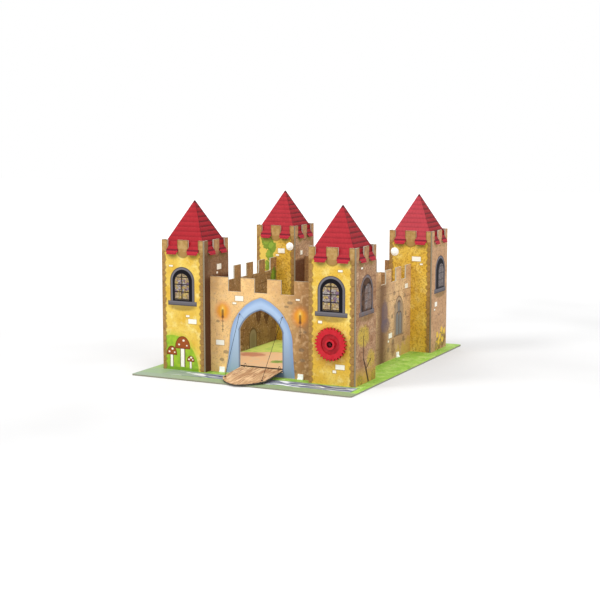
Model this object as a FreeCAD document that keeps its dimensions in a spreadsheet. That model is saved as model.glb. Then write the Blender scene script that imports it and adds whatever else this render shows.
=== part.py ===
import FreeCAD, Part
import Sketcher
import math
import os

V = FreeCAD.Vector

doc = FreeCAD.newDocument("CardCastle")

# Driving dimensions, in millimetres and degrees
DIMENSIONS = [
    ("board", 2.0, "thickness of the printed board"),
    ("card", 1.0, "thickness of the roof card"),
    ("fit_gap", 0.15, "gap round a tab in its slot"),
    ("tab_short", 0.3, "how far a foot tab stops above the underside"),
    ("base_corner", 3.0, "corner radius of the base board"),
    ("left_margin", 18.3, "base edge to the left towers"),
    ("right_margin", 17.3, "right towers to the base edge"),
    ("front_margin", 53.8, "base edge to the front towers"),
    ("rear_margin", 22.8, "rear towers to the base edge"),
    ("tower_width", 70.0, "tower, left to right"),
    ("tower_depth", 68.5, "tower, front to back"),
    ("tower_height", 185.3, "tower, base to the top of its battlements"),
    ("tower_span", 230.4, "left towers' left side to right towers' left side"),
    ("tower_row", 283.9, "front towers' front to rear towers' front"),
    ("fold_radius", 1.2, "outer radius of a folded corner"),
    ("glue_flap", 11.0, "length of the glued flap inside the lapped corner"),
    ("lap_groove", 0.4, "width of the line beside the lapped panel's cut edge"),
    ("lap_depth", 1.2, "depth of that line"),
    ("tower_post", 10.2, "corner battlement, from the corner to its crenel"),
    ("tower_crenel", 16.1, "width of a tower crenel"),
    ("foot_tab", 20.0, "length of a foot tab"),
    ("wall_height", 135.0, "wall, base to the top of its battlements"),
    ("wall_notch", 19.7, "depth of a wall crenel"),
    ("wall_tab", 14.0, "height of a wall's end tab"),
    ("wall_tab_low", 28.0, "base to the lower end tab"),
    ("wall_tab_high", 92.0, "base to the upper end tab"),
    ("tab_reach", 5.0, "how far an end tab goes through the tower's side"),
    ("gate_setback", 15.4, "towers' front to the gate wall's front"),
    ("gate_post", 28.8, "end battlement of the gate wall"),
    ("gate_merlon", 21.4, "middle battlement of the gate wall"),
    ("side_line", 35.0, "towers' left side to the side walls' middle plane"),
    ("side_merlon", 20.1, "battlement of a side wall"),
    ("back_line", 34.2, "rear towers' front to the back wall's middle plane"),
    ("back_merlon", 20.6, "battlement of the back wall"),
    ("gate_width", 66.8, "width of the gate opening"),
    ("gate_sill", 6.6, "base to the gate's sill"),
    ("gate_spring", 63.0, "base to the start of the arch"),
    ("gate_apex", 91.4, "base to the point of the arch"),
    ("arch_bulge", 5.4, "how far each side of the arch bulges from a straight line"),
    ("string_hole", 1.1, "radius of a string hole"),
    ("string_hole_half", 33.4, "gate middle to a string hole"),
    ("string_hole_up", 84.0, "base to the string holes"),
    ("string_radius", 0.4, "radius of the string"),
    ("rod_radius", 0.8, "radius of the hinge rod"),
    ("rod_up", 11.0, "base to the hinge rod's axis"),
    ("rod_gap", 0.1, "gap between the rod and the card beside it"),
    ("rod_reach", 9.0, "how far the rod runs on past each side of the gate"),
    ("keeper_width", 6.0, "width of a strip that holds the rod"),
    ("keeper_flange", 4.0, "height of each glued end of that strip"),
    ("keeper_card", 0.6, "thickness of that strip"),
    ("bridge_gap", 0.5, "gap round the drawbridge in the gate"),
    ("bridge_drop", 6.0, "degrees that the lowered drawbridge slopes down"),
    ("bridge_heel", 0.2, "how far the drawbridge's edge stops in front of the rod's axis"),
    ("loop_radius", 3.4, "radius of a hinge loop"),
    ("loop_inset", 6.0, "drawbridge's side to a hinge loop"),
    ("loop_hole", 1.5, "radius of a loop's hole in the drawbridge"),
    ("loop_hole_along", 2.55, "rod's axis to a loop's hole"),
    ("knot_along", 54.0, "rod's axis to the string knots, along the drawbridge"),
    ("knot_half", 28.5, "drawbridge's middle to a string knot"),
    ("knot_radius", 1.4, "radius of a string knot"),
    ("roof_rise", 53.9, "battlements' top to the roof's point"),
    ("roof_half", 28.3, "half the roof's width at the battlements' top"),
    ("roof_point", 0.5, "half the width of the roof's blunt point"),
    ("roof_lip", 20.2, "battlements' top to the ends of the roof's flaps"),
    ("lip_extra", 1.3, "how far a flap's end is wider than its crenel, each side"),
    ("lip_round", 3.2, "how far the middle of a flap's end hangs below its corners"),
    ("roof_gap", 0.3, "gap between the roof and the tower"),
    ("axle_radius", 2.0, "radius of the crank axle"),
    ("axle_run", 0.08, "running gap round the axle"),
    ("axle_up", 56.0, "base to the axle"),
    ("gear_radius", 22.8, "radius at the tips of the gear's teeth"),
    ("tooth_height", 2.6, "height of a tooth"),
    ("gear_teeth", 28, "teeth on the gear"),
    ("tooth_foot", 0.8, "share of the tooth pitch that a tooth's foot takes"),
    ("tooth_tip", 0.4, "width of a tooth's tip as a share of its foot"),
    ("tooth_root", 1.0, "how far a tooth's foot lies inside the gear's body"),
    ("axle_chamfer", 1.0, "length of the taper at each end of the axle"),
    ("gear_rim", 4.2, "thickness of the gear's rim"),
    ("gear_recess", 1.8, "depth of the gear's recess"),
    ("gear_gap", 0.3, "gap between the tower and the gear's boss"),
    ("boss_length", 1.3, "height of the gear's boss"),
    ("hub_radius", 7.2, "radius of the gear's hub"),
    ("hub_bore", 4.2, "radius of the hub's open end"),
    ("hub_height", 6.0, "rim's back to the hub's end"),
    ("hub_floor", 1.4, "rim's back to the floor of the hub's open end"),
    ("axle_sunk", 1.2, "how far the axle's end lies inside the hub"),
    ("press_gap", 0.05, "gap between the axle and what is pressed on it"),
    ("recess_radius", 13.6, "outer radius of the gear's recess"),
    ("boss_radius", 5.0, "radius of the gear's boss against the tower"),
    ("spool_core", 6.0, "radius of the spool between its flanges"),
    ("spool_flange", 9.0, "radius of the spool's flanges"),
    ("spool_length", 14.0, "length of the spool"),
    ("spool_wall", 2.0, "thickness of a spool flange"),
    ("spool_start", 12.6, "tower's front to the spool"),
    ("winding_width", 6.0, "width of the wound string on the spool"),
    ("collar_radius", 4.5, "radius of an axle collar"),
    ("collar_length", 3.0, "length of an axle collar"),
    ("bearing_back", 30.0, "tower's front to the bearing plate"),
    ("bearing_height", 40.0, "height of the bearing plate"),
    ("bearing_flap", 12.0, "length of the bearing plate's glued flaps"),
    ("lead_up", 112.5, "base to the strings' hole in the tower"),
    ("lead_hole", 3.4, "radius of that hole"),
    ("lead_gap", 1.0, "gate wall's back to the nearer string"),
    ("string_pitch", 2.2, "distance between the two strings behind the wall"),
    ("string_bend", 1.6, "radius of a string's bend"),
    ("rivet_radius", 6.3, "radius of a corner rivet's head"),
    ("rivet_dome", 3.2, "height of a corner rivet's head"),
    ("rivet_edge", 0.9, "height of the rim of its head"),
    ("rivet_crown", 2.8, "radius of the flat middle of its head"),
    ("rivet_stem", 3.0, "radius of a corner rivet's stem"),
    ("rivet_grip", 7.0, "length of a corner rivet's stem"),
    ("rivet_inset", 9.6, "tower's corner to a rivet"),
    ("rivet_drop", 32.6, "top of a rear tower's battlements to a rivet"),
    ("washer_thick", 1.5, "thickness of a rivet's washer"),
    ("washer_rim", 2.2, "a washer's width beyond the rivet's stem"),
    ("clip_width", 8.0, "width of a foot clip"),
    ("clip_height", 7.4, "height of a foot clip"),
    ("clip_foot", 3.2, "how far a foot clip stands out"),
    ("clip_wall", 1.6, "thickness of a foot clip"),
    ("gate_clip_inset", 18.7, "tower's side to a gate clip"),
    ("side_clip_inset", 52.6, "tower to a side wall's clip"),
    ("back_clip_inset", 40.0, "tower to a back wall's clip"),
]

sheet = doc.addObject("Spreadsheet::Sheet", "Sizes")
for row, (alias, value, note) in enumerate(DIMENSIONS, start=1):
    sheet.set(f"A{row}", note)
    sheet.set(f"B{row}", str(value))
    sheet.setAlias(f"B{row}", alias)
doc.recompute()

NAMES = sorted((alias for alias, _, _ in DIMENSIONS), key=len, reverse=True)


def bound(text):
    """Turns words such as board or tower_width in a formula into the sheet's cells."""
    out = ""
    word = ""
    for letter in text + " ":
        if letter.isalnum() or letter == "_":
            word += letter
            continue
        out += f"Sizes.{word}" if word in NAMES else word
        out += letter
        word = ""
    return out.strip()


def worth(text):
    """The number that a formula of sizes comes to."""
    return float(sheet.evalExpression(bound(text)))


# Places that several pieces share
BASE_WIDTH = "(left_margin + tower_span + tower_width + right_margin)"
BASE_LENGTH = "(front_margin + tower_row + tower_depth + rear_margin)"
LEFT_X = f"(left_margin - {BASE_WIDTH} / 2)"
RIGHT_X = f"({LEFT_X} + tower_span)"
FRONT_Y = f"(front_margin - {BASE_LENGTH} / 2)"
REAR_Y = f"({FRONT_Y} + tower_row)"
GATE_Y = f"({FRONT_Y} + gate_setback)"
GATE_MIDDLE = f"({LEFT_X} + (tower_span + tower_width) / 2)"
GATE_LENGTH = "(tower_span - tower_width)"
SIDE_LENGTH = "(tower_row - tower_depth)"
ROD_Y = f"({GATE_Y} + board + rod_gap + rod_radius)"
ROD_Z = "(board + rod_up)"
FOOT_Z = "tab_short"
FOOT_DEPTH = "(board - tab_short)"
AXLE_X = "(tower_width / 2)"
LEAD_ALONG = "(gate_setback + board + lead_gap + string_pitch / 2)"
CORE_X = "(tower_width / 2 - board - roof_gap)"
CORE_Y = "(tower_depth / 2 - board - roof_gap)"

TOWER_PLACES = [
    ("front_left", LEFT_X, FRONT_Y), ("front_right", RIGHT_X, FRONT_Y),
    ("rear_left", LEFT_X, REAR_Y), ("rear_right", RIGHT_X, REAR_Y)]

# The roof's slope, and the crenels that its flaps rest in
PITCH = "((roof_half - roof_point) / roof_rise)"
SKIN = f"(card * sqrt(1 + {PITCH} ^ 2))"
ROOF_FOOT = f"(roof_half + roof_lip * {PITCH})"
NOTCH = f"((max(tower_width; tower_depth) / 2 - roof_half + {SKIN}) / {PITCH} + roof_gap)"

finished = []


def keep(thing, name):
    thing.Label = name
    finished.append(thing)
    return thing


def set_sizes(thing, **formulas):
    for key, formula in formulas.items():
        thing.setExpression(key.replace("__", "."), bound(formula))
    return thing


def place(thing, across, along, up, turn=None):
    set_sizes(thing, Placement__Base__x=across, Placement__Base__y=along, Placement__Base__z=up)
    if turn:
        axis, angle = turn
        base = thing.Placement.Base
        thing.Placement = FreeCAD.Placement(base, FreeCAD.Rotation(axis, angle))
    return thing


def new_body(name, across, along, up, turn=None):
    body = doc.addObject("PartDesign::Body", name)
    place(body, across, along, up, turn)
    return keep(body, name)


def new_sketch(body, name, plane, offset=None):
    """An empty sketch on one of the body's own planes: XY, XZ or YZ."""
    sketch = body.newObject("Sketcher::SketchObject", name)
    support = next(item for item in body.Origin.OriginFeatures if item.Role == f"{plane}_Plane")
    sketch.AttachmentSupport = (support, [""])
    sketch.MapMode = "FlatFace"
    if offset:
        set_sizes(sketch, AttachmentOffset__Base__z=offset)
    return sketch


# Which point of a sketch's shape a constraint holds
START = 1
END = 2
CENTRE = 3
ORIGIN = (-1, 1)


def pin_point(sketch, shape, point, across, up):
    for kind, formula in (("DistanceX", across), ("DistanceY", up)):
        index = sketch.addConstraint(
            Sketcher.Constraint(kind, *ORIGIN, shape, point, worth(formula)))
        sketch.setExpression(f"Constraints[{index}]", bound(formula))


def set_radius(sketch, shape, radius):
    index = sketch.addConstraint(Sketcher.Constraint("Radius", shape, worth(radius)))
    sketch.setExpression(f"Constraints[{index}]", bound(radius))


def draw_loop(sketch, corners):
    """A closed loop. A corner (across, up, radius) starts an arc that bulges outwards."""
    places = [V(worth(corner[0]), worth(corner[1]), 0) for corner in corners]
    shapes = []
    for start, stop, corner in zip(places, places[1:] + places[:1], corners):
        if len(corner) == 2:
            shapes.append(sketch.addGeometry(Part.LineSegment(start, stop)))
            continue
        radius = worth(corner[2])
        chord = stop - start
        half = chord.Length / 2
        inward = V(-chord.y, chord.x, 0).normalize()
        centre = start + chord / 2 + inward * math.sqrt(max(radius ** 2 - half ** 2, 0))
        circle = Part.Circle(centre, V(0, 0, 1), radius)
        first = math.atan2(start.y - centre.y, start.x - centre.x)
        last = math.atan2(stop.y - centre.y, stop.x - centre.x)
        if last < first:
            last += 2 * math.pi
        shape = sketch.addGeometry(Part.ArcOfCircle(circle, first, last))
        set_radius(sketch, shape, corner[2])
        shapes.append(shape)
    for shape, after, corner in zip(shapes, shapes[1:] + shapes[:1], corners):
        sketch.addConstraint(Sketcher.Constraint("Coincident", shape, END, after, START))
        pin_point(sketch, shape, START, corner[0], corner[1])
    return sketch


def draw_box(sketch, left, low, width, height):
    right = f"({left}) + ({width})"
    top = f"({low}) + ({height})"
    return draw_loop(sketch, [(left, low), (right, low), (right, top), (left, top)])


def draw_circle(sketch, across, up, radius):
    centre = V(worth(across), worth(up), 0)
    shape = sketch.addGeometry(Part.Circle(centre, V(0, 0, 1), worth(radius)))
    set_radius(sketch, shape, radius)
    pin_point(sketch, shape, CENTRE, across, up)
    return sketch


def pad(body, sketch, length, reverse=False):
    feature = body.newObject("PartDesign::Pad", f"{sketch.Name}_pad")
    feature.Profile = sketch
    feature.Reversed = reverse
    set_sizes(feature, Length=length)
    return feature


def cut(body, sketch, length=None, reverse=False):
    feature = body.newObject("PartDesign::Pocket", f"{sketch.Name}_cut")
    feature.Profile = sketch
    feature.Reversed = reverse
    if length:
        set_sizes(feature, Length=length)
    else:
        feature.Type = "ThroughAll"
    return feature


def repeat(body, feature, sketch, length, count):
    """Copies a feature along the sketch's horizontal axis."""
    pattern = body.newObject("PartDesign::LinearPattern", f"{feature.Name}_row")
    pattern.Originals = [feature]
    pattern.Direction = (sketch, ["H_Axis"])
    set_sizes(pattern, Length=length)
    pattern.Occurrences = count
    body.Tip = pattern
    return pattern


def revolve(body, sketch):
    """Turns a profile about the sketch's upright axis."""
    feature = body.newObject("PartDesign::Revolution", f"{sketch.Name}_turned")
    feature.Profile = sketch
    feature.ReferenceAxis = (sketch, ["V_Axis"])
    feature.Angle = 360
    return feature


def many_sided(across, radius, sides):
    """The corners of a regular outline whose middle lies on the horizontal axis."""
    corners = []
    for number in range(sides):
        angle = 360 * number / sides
        corners.append((f"({across}) + {radius} * cos({angle})", f"{radius} * sin({angle})"))
    return corners


def round_edges(body, feature, radius, chosen):
    """Fillets the edges of a feature that the test chooses."""
    doc.recompute()
    names = [f"Edge{number}" for number, edge in enumerate(feature.Shape.Edges, start=1)
             if chosen(edge)]
    fillet = body.newObject("PartDesign::Fillet", f"{feature.Name}_round")
    fillet.Base = (feature, names)
    set_sizes(fillet, Radius=radius)
    return fillet


# Base board
TAB_SLOT = "(board + 2 * fit_gap)"
TAB_HOLE = "(foot_tab + 2 * fit_gap)"


def make_base():
    body = new_body("base_board", f"-{BASE_WIDTH} / 2", f"-{BASE_LENGTH} / 2", "0")
    outline = draw_box(new_sketch(body, "BaseOutline", "XY"), "0", "0", BASE_WIDTH, BASE_LENGTH)
    slab = pad(body, outline, "board")
    upright = V(0, 0, 1)
    round_edges(body, slab, "base_corner",
                lambda edge: abs(edge.tangentAt(edge.FirstParameter).dot(upright)) > 0.9)
    slots = new_sketch(body, "BaseSlots", "XY")
    left = "left_margin"
    right = "left_margin + tower_span"
    front = "front_margin"
    rear = "front_margin + tower_row"
    for x in (left, right):
        for y in (front, rear):
            middle_x = f"{x} + (tower_width - foot_tab) / 2 - fit_gap"
            middle_y = f"{y} + (tower_depth - foot_tab) / 2 - fit_gap"
            draw_box(slots, middle_x, f"{y} - fit_gap", TAB_HOLE, TAB_SLOT)
            draw_box(slots, middle_x, f"{y} + tower_depth - board - fit_gap", TAB_HOLE, TAB_SLOT)
            draw_box(slots, f"{x} - fit_gap", middle_y, TAB_SLOT, TAB_HOLE)
            draw_box(slots, f"{x} + tower_width - board - fit_gap", middle_y, TAB_SLOT, TAB_HOLE)
    across = f"{left} + (tower_span + tower_width - foot_tab) / 2 - fit_gap"
    draw_box(slots, across, f"{front} + gate_setback - fit_gap", TAB_HOLE, TAB_SLOT)
    draw_box(slots, across, f"{rear} + back_line - board / 2 - fit_gap", TAB_HOLE, TAB_SLOT)
    along = f"{front} + (tower_row + tower_depth - foot_tab) / 2 - fit_gap"
    for x in (left, right):
        draw_box(slots, f"{x} + side_line - board / 2 - fit_gap", along, TAB_SLOT, TAB_HOLE)
    cut(body, slots, reverse=True)


# Towers: one sheet folded round a square, its last panel lapped over the front corner
def face_sketch(body, name, face):
    """A sketch on a tower's outer face, and whether a cut from it must be reversed."""
    if face == "left":
        return new_sketch(body, name, "YZ"), True
    if face == "right":
        return new_sketch(body, name, "YZ", "tower_width"), False
    if face == "front":
        return new_sketch(body, name, "XZ"), False
    return new_sketch(body, name, "XZ", "-tower_depth"), True


def make_tower(name, x, y, slots, holes):
    body = new_body(name, x, y, FOOT_Z)
    lap = "tower_width - board - lap_groove"
    section = new_sketch(body, f"{name}_section", "XY", FOOT_DEPTH)
    draw_loop(section, [
        ("0", "0"), (lap, "0"), (lap, "lap_depth"), ("tower_width - board", "lap_depth"),
        ("tower_width - board", "0"), ("tower_width", "0"),
        ("tower_width", "tower_depth"), ("0", "tower_depth")])
    draw_loop(section, [
        ("board", "board"), ("tower_width - 2 * board", "board"),
        ("tower_width - 2 * board", "board + glue_flap"),
        ("tower_width - board", "board + glue_flap"),
        ("tower_width - board", "tower_depth - board"), ("board", "tower_depth - board")])
    tube = pad(body, section, "tower_height")
    width = worth("tower_width")
    depth = worth("tower_depth")
    folds = [(0, 0), (0, depth), (width, depth)]

    def is_fold(edge):
        ends = [vertex.Point for vertex in edge.Vertexes]
        if len(ends) < 2 or abs(ends[0].z - ends[1].z) < 1:
            return False
        return any(math.hypot(ends[0].x - fx, ends[0].y - fy) < 0.01 for fx, fy in folds)

    round_edges(body, tube, "fold_radius", is_fold)
    top = f"{FOOT_DEPTH} + tower_height - {NOTCH}"
    for plane, long, reverse in (("XZ", "tower_width", False), ("YZ", "tower_depth", True)):
        crenels = new_sketch(body, f"{name}_crenels_{plane}", plane)
        for low in ("tower_post", f"{long} - tower_post - tower_crenel"):
            draw_box(crenels, low, top, "tower_crenel", f"{NOTCH} + board")
        cut(body, crenels, reverse=reverse)
    flap_top = new_sketch(body, f"{name}_flap_top", "XY", f"{FOOT_DEPTH} + tower_height")
    draw_box(flap_top, "tower_width - 2 * board", "board", "board", "glue_flap")
    cut(body, flap_top, f"{NOTCH} + board")
    feet = new_sketch(body, f"{name}_feet", "XY")
    middle_x = "(tower_width - foot_tab) / 2"
    middle_y = "(tower_depth - foot_tab) / 2"
    draw_box(feet, middle_x, "0", "foot_tab", "board")
    draw_box(feet, middle_x, "tower_depth - board", "foot_tab", "board")
    draw_box(feet, "0", middle_y, "board", "foot_tab")
    draw_box(feet, "tower_width - board", middle_y, "board", "foot_tab")
    pad(body, feet, f"{FOOT_DEPTH} + board / 2")
    for face, low in slots:
        sketch, reverse = face_sketch(body, f"{name}_slots_{face}", face)
        for up in ("wall_tab_low", "wall_tab_high"):
            draw_box(sketch, f"{low} - fit_gap", f"{FOOT_DEPTH} + {up} - fit_gap",
                     TAB_SLOT, "wall_tab + 2 * fit_gap")
        cut(body, sketch, "board + fold_radius / 2", reverse)
    for number, (face, across, up, radius) in enumerate(holes, start=1):
        sketch, reverse = face_sketch(body, f"{name}_hole_{number}", face)
        draw_circle(sketch, across, f"{FOOT_DEPTH} + {up}", radius)
        cut(body, sketch, "board + fold_radius / 2", reverse)
    return body


# Roofs: a folded pyramid whose flaps come out through the crenels
def make_wedge(name, inset, drop):
    """A four-sided spire whose foot is at the flaps' ends, inset by a wall and lowered."""
    wedge = doc.addObject("Part::Wedge", name)
    foot = f"({ROOF_FOOT} - {inset})"
    set_sizes(wedge, Xmin=f"-{foot}", Xmax=foot, Zmin=f"-{foot}", Zmax=foot,
              X2min="-roof_point", X2max="roof_point", Z2min="-roof_point", Z2max="roof_point",
              Ymin="0", Ymax=f"roof_lip + roof_rise - {drop}")
    wedge.Placement = FreeCAD.Placement(V(0, 0, 0), FreeCAD.Rotation(V(1, 0, 0), 90))
    return wedge


def make_block(name, low, size):
    block = doc.addObject("Part::Box", name)
    set_sizes(block, Length=size[0], Width=size[1], Height=size[2],
              Placement__Base__x=low[0], Placement__Base__y=low[1], Placement__Base__z=low[2])
    return block


def make_lip(name, plane, middle, out_from):
    """The outline of one flap's rounded end, swept outwards from the tower's face."""
    half = "(tower_crenel / 2 + lip_extra)"
    left = f"({middle} - {half})"
    right = f"({middle} + {half})"
    radius = f"({half} ^ 2 + lip_round ^ 2) / (2 * lip_round)"
    sketch = doc.addObject("Sketcher::SketchObject", f"{name}_outline")
    draw_loop(sketch, [(left, "lip_round", radius), (right, "lip_round"),
                       (right, "roof_lip"), (left, "roof_lip")])
    if plane == "XZ":
        sketch.Placement = FreeCAD.Placement(V(0, 0, 0), FreeCAD.Rotation(V(1, 0, 0), 90))
        set_sizes(sketch, Placement__Base__y=f"-({out_from})")
    else:
        sketch.Placement = FreeCAD.Placement(V(0, 0, 0), FreeCAD.Rotation(V(1, 1, 1), 120))
        set_sizes(sketch, Placement__Base__x=out_from)
    swept = doc.addObject("Part::Extrusion", name)
    swept.Base = sketch
    swept.DirMode = "Normal"
    swept.Solid = True
    set_sizes(swept, LengthFwd="roof_lip")
    return swept


def mirrored(thing, normal):
    copy = doc.addObject("Part::Mirroring", f"{thing.Name}_mirror")
    copy.Source = thing
    copy.Normal = normal
    return copy


def make_roof_room():
    """Where the roof's card may be: inside the tower, in its crenels and outside its faces."""
    tall = "(roof_lip + roof_rise + board)"
    reach = "(tower_width + tower_depth)"
    strip = "(tower_crenel - 2 * roof_gap)"
    pieces = [make_block("RoofCore", (f"-{CORE_X}", f"-{CORE_Y}", "-board"),
                         (f"2 * {CORE_X}", f"2 * {CORE_Y}", tall))]
    for plane, long, other, normal in (("XZ", "tower_width", "tower_depth", V(0, 1, 0)),
                                       ("YZ", "tower_depth", "tower_width", V(1, 0, 0))):
        shift = f"({long} / 2 - tower_post - tower_crenel / 2)"
        for number, middle in enumerate((shift, f"(-{shift})"), start=1):
            edge = f"({middle} - {strip} / 2)"
            low = (edge, f"-{reach} / 2", "-board")
            size = (strip, reach, tall)
            if plane == "YZ":
                low = (low[1], low[0], low[2])
                size = (size[1], size[0], size[2])
            pieces.append(make_block(f"RoofStrip{plane}{number}", low, size))
            lip = make_lip(f"RoofLip{plane}{number}", plane, middle, f"{other} / 2 + roof_gap")
            pieces += [lip, mirrored(lip, normal)]
    room = doc.addObject("Part::MultiFuse", "RoofRoom")
    room.Shapes = pieces
    return room


def make_roofs():
    room = make_roof_room()
    shell = doc.addObject("Part::Cut", "RoofShell")
    shell.Base = make_wedge("RoofOuter", "0", "0")
    shell.Tool = make_wedge("RoofInner", SKIN, f"{SKIN} / {PITCH}")
    for name, x, y in TOWER_PLACES:
        roof = doc.addObject("Part::MultiCommon", f"{name}_roof")
        roof.Shapes = [shell, room]
        place(roof, f"{x} + tower_width / 2", f"{y} + tower_depth / 2",
              "board + tower_height - roof_lip")
        keep(roof, f"{name}_roof")


# Walls: flat panels with battlements, end tabs and a foot tab
def make_wall(name, x, y, turn, length, post, merlon, count, cuts=None):
    """A wall whose local x runs along it from the end of its first tab."""
    body = new_body(name, x, y, FOOT_Z, turn)
    start = "tab_reach"
    stop = f"(tab_reach + {length})"
    far = f"(2 * tab_reach + {length})"
    foot = FOOT_DEPTH
    foot_low = f"({start} + ({length} - foot_tab) / 2)"
    tabs = [(f"({foot} + {up})", f"({foot} + {up} + wall_tab)")
            for up in ("wall_tab_low", "wall_tab_high")]
    top = f"({foot} + wall_height)"
    corners = [(start, foot), (foot_low, foot), (foot_low, "0"), (f"{foot_low} + foot_tab", "0"),
               (f"{foot_low} + foot_tab", foot), (stop, foot)]
    for low, high in tabs:
        corners += [(stop, low), (far, low), (far, high), (stop, high)]
    corners += [(stop, top), (start, top)]
    for low, high in reversed(tabs):
        corners += [(start, high), ("0", high), ("0", low), (start, low)]
    outline = draw_loop(new_sketch(body, f"{name}_outline", "XZ"), corners)
    pad(body, outline, "board", reverse=True)
    crenel = f"(({length} - 2 * {post} - {count - 2} * {merlon}) / {count - 1})"
    notch = new_sketch(body, f"{name}_crenel", "XZ")
    draw_box(notch, f"{start} + {post}", f"{top} - wall_notch", crenel, "wall_notch + board")
    first = cut(body, notch)
    repeat(body, first, notch, f"({crenel} + {merlon}) * {count - 2}", count - 1)
    if cuts:
        cuts(body)
    return body


ARCH_RADIUS = "(((({half}) ^ 2 + ({rise}) ^ 2) / 4 + arch_bulge ^ 2) / (2 * arch_bulge))"


def gate_cuts(body):
    middle = f"(tab_reach + {GATE_LENGTH} / 2)"
    left = f"({middle} - gate_width / 2)"
    right = f"({middle} + gate_width / 2)"
    spring = f"({FOOT_DEPTH} + gate_spring)"
    radius = ARCH_RADIUS.format(half="gate_width / 2", rise="gate_apex - gate_spring")
    opening = new_sketch(body, "GateOpening", "XZ")
    draw_loop(opening, [
        (left, f"{FOOT_DEPTH} + gate_sill"), (right, f"{FOOT_DEPTH} + gate_sill"),
        (right, spring, radius), (middle, f"{FOOT_DEPTH} + gate_apex", radius), (left, spring)])
    cut(body, opening)
    holes = new_sketch(body, "StringHoles", "XZ")
    for side in ("-", "+"):
        draw_circle(holes, f"{middle} {side} string_hole_half",
                    f"{FOOT_DEPTH} + string_hole_up", "string_hole")
    cut(body, holes)


def make_walls():
    along = (V(0, 0, 1), 90)
    make_wall("gate_wall", f"{LEFT_X} + tower_width - tab_reach", GATE_Y, None,
              GATE_LENGTH, "gate_post", "gate_merlon", 4, gate_cuts)
    make_wall("back_wall", f"{LEFT_X} + tower_width - tab_reach",
              f"{REAR_Y} + back_line - board / 2", None,
              GATE_LENGTH, "back_merlon", "back_merlon", 5)
    for name, x in (("left_wall", LEFT_X), ("right_wall", RIGHT_X)):
        make_wall(name, f"{x} + side_line + board / 2",
                  f"{FRONT_Y} + tower_depth - tab_reach", along,
                  SIDE_LENGTH, "side_merlon", "side_merlon", 6)


# Drawbridge: the panel cut out of the gate, hung in front of a rod by two thread loops
def make_drawbridge():
    width = "(gate_width - 2 * bridge_gap)"
    body = new_body("drawbridge", f"{GATE_MIDDLE} + {width} / 2", ROD_Y, ROD_Z)
    tilt_with_bridge(body)
    top = "(rod_radius + rod_gap)"
    sheet_plan = new_sketch(body, "BridgeOutline", "XY", f"-({top} + board)")
    spring = "(gate_spring - rod_up)"
    apex = "(gate_apex - rod_up - bridge_gap)"
    radius = ARCH_RADIUS.format(half=f"{width} / 2", rise=f"{apex} - {spring}")
    draw_loop(sheet_plan, [
        ("0", "bridge_heel"), (width, "bridge_heel"), (width, spring, radius),
        (f"{width} / 2", apex, radius), ("0", spring)])
    pad(body, sheet_plan, "board")
    holes = new_sketch(body, "BridgeHoles", "XY", f"-{top}")
    for x in ("loop_inset", f"{width} - loop_inset"):
        draw_circle(holes, x, "loop_hole_along", "loop_hole")
    for side in ("-", "+"):
        draw_circle(holes, f"{width} / 2 {side} knot_half", "knot_along", "string_hole")
    cut(body, holes, "board")
    for side, sign in (("left", "-"), ("right", "+")):
        make_knot(f"bridge_knot_{side}", f"{GATE_MIDDLE} {sign} knot_half")


def tilt_with_bridge(body):
    set_sizes(body, Placement__Rotation__Axis__x="0",
              Placement__Rotation__Axis__y="-sin(bridge_drop / 2)",
              Placement__Rotation__Axis__z="cos(bridge_drop / 2)",
              Placement__Rotation__Angle="180")


def make_knot(name, across):
    """A knot above the drawbridge, one below it and the string between them in its hole."""
    out = "knot_along"
    down = "(rod_radius + 2 * rod_gap + board + knot_radius)"
    body = new_body(name, across,
                    f"{ROD_Y} - {out} * cos(bridge_drop) + {down} * sin(bridge_drop)",
                    f"{ROD_Z} - {out} * sin(bridge_drop) - {down} * cos(bridge_drop)")
    tilt_with_bridge(body)
    middle = "(board + 2 * rod_gap)"
    for title, low, tall, radius in (
            ("lower", "0", "knot_radius", "knot_radius"),
            ("neck", "knot_radius", middle, "(string_hole - fit_gap)"),
            ("upper", f"knot_radius + {middle}", "knot_radius", "knot_radius")):
        outline = new_sketch(body, f"{name}_{title}", "XY", low)
        draw_loop(outline, many_sided("0", radius, 6))
        pad(body, outline, tall)


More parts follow.
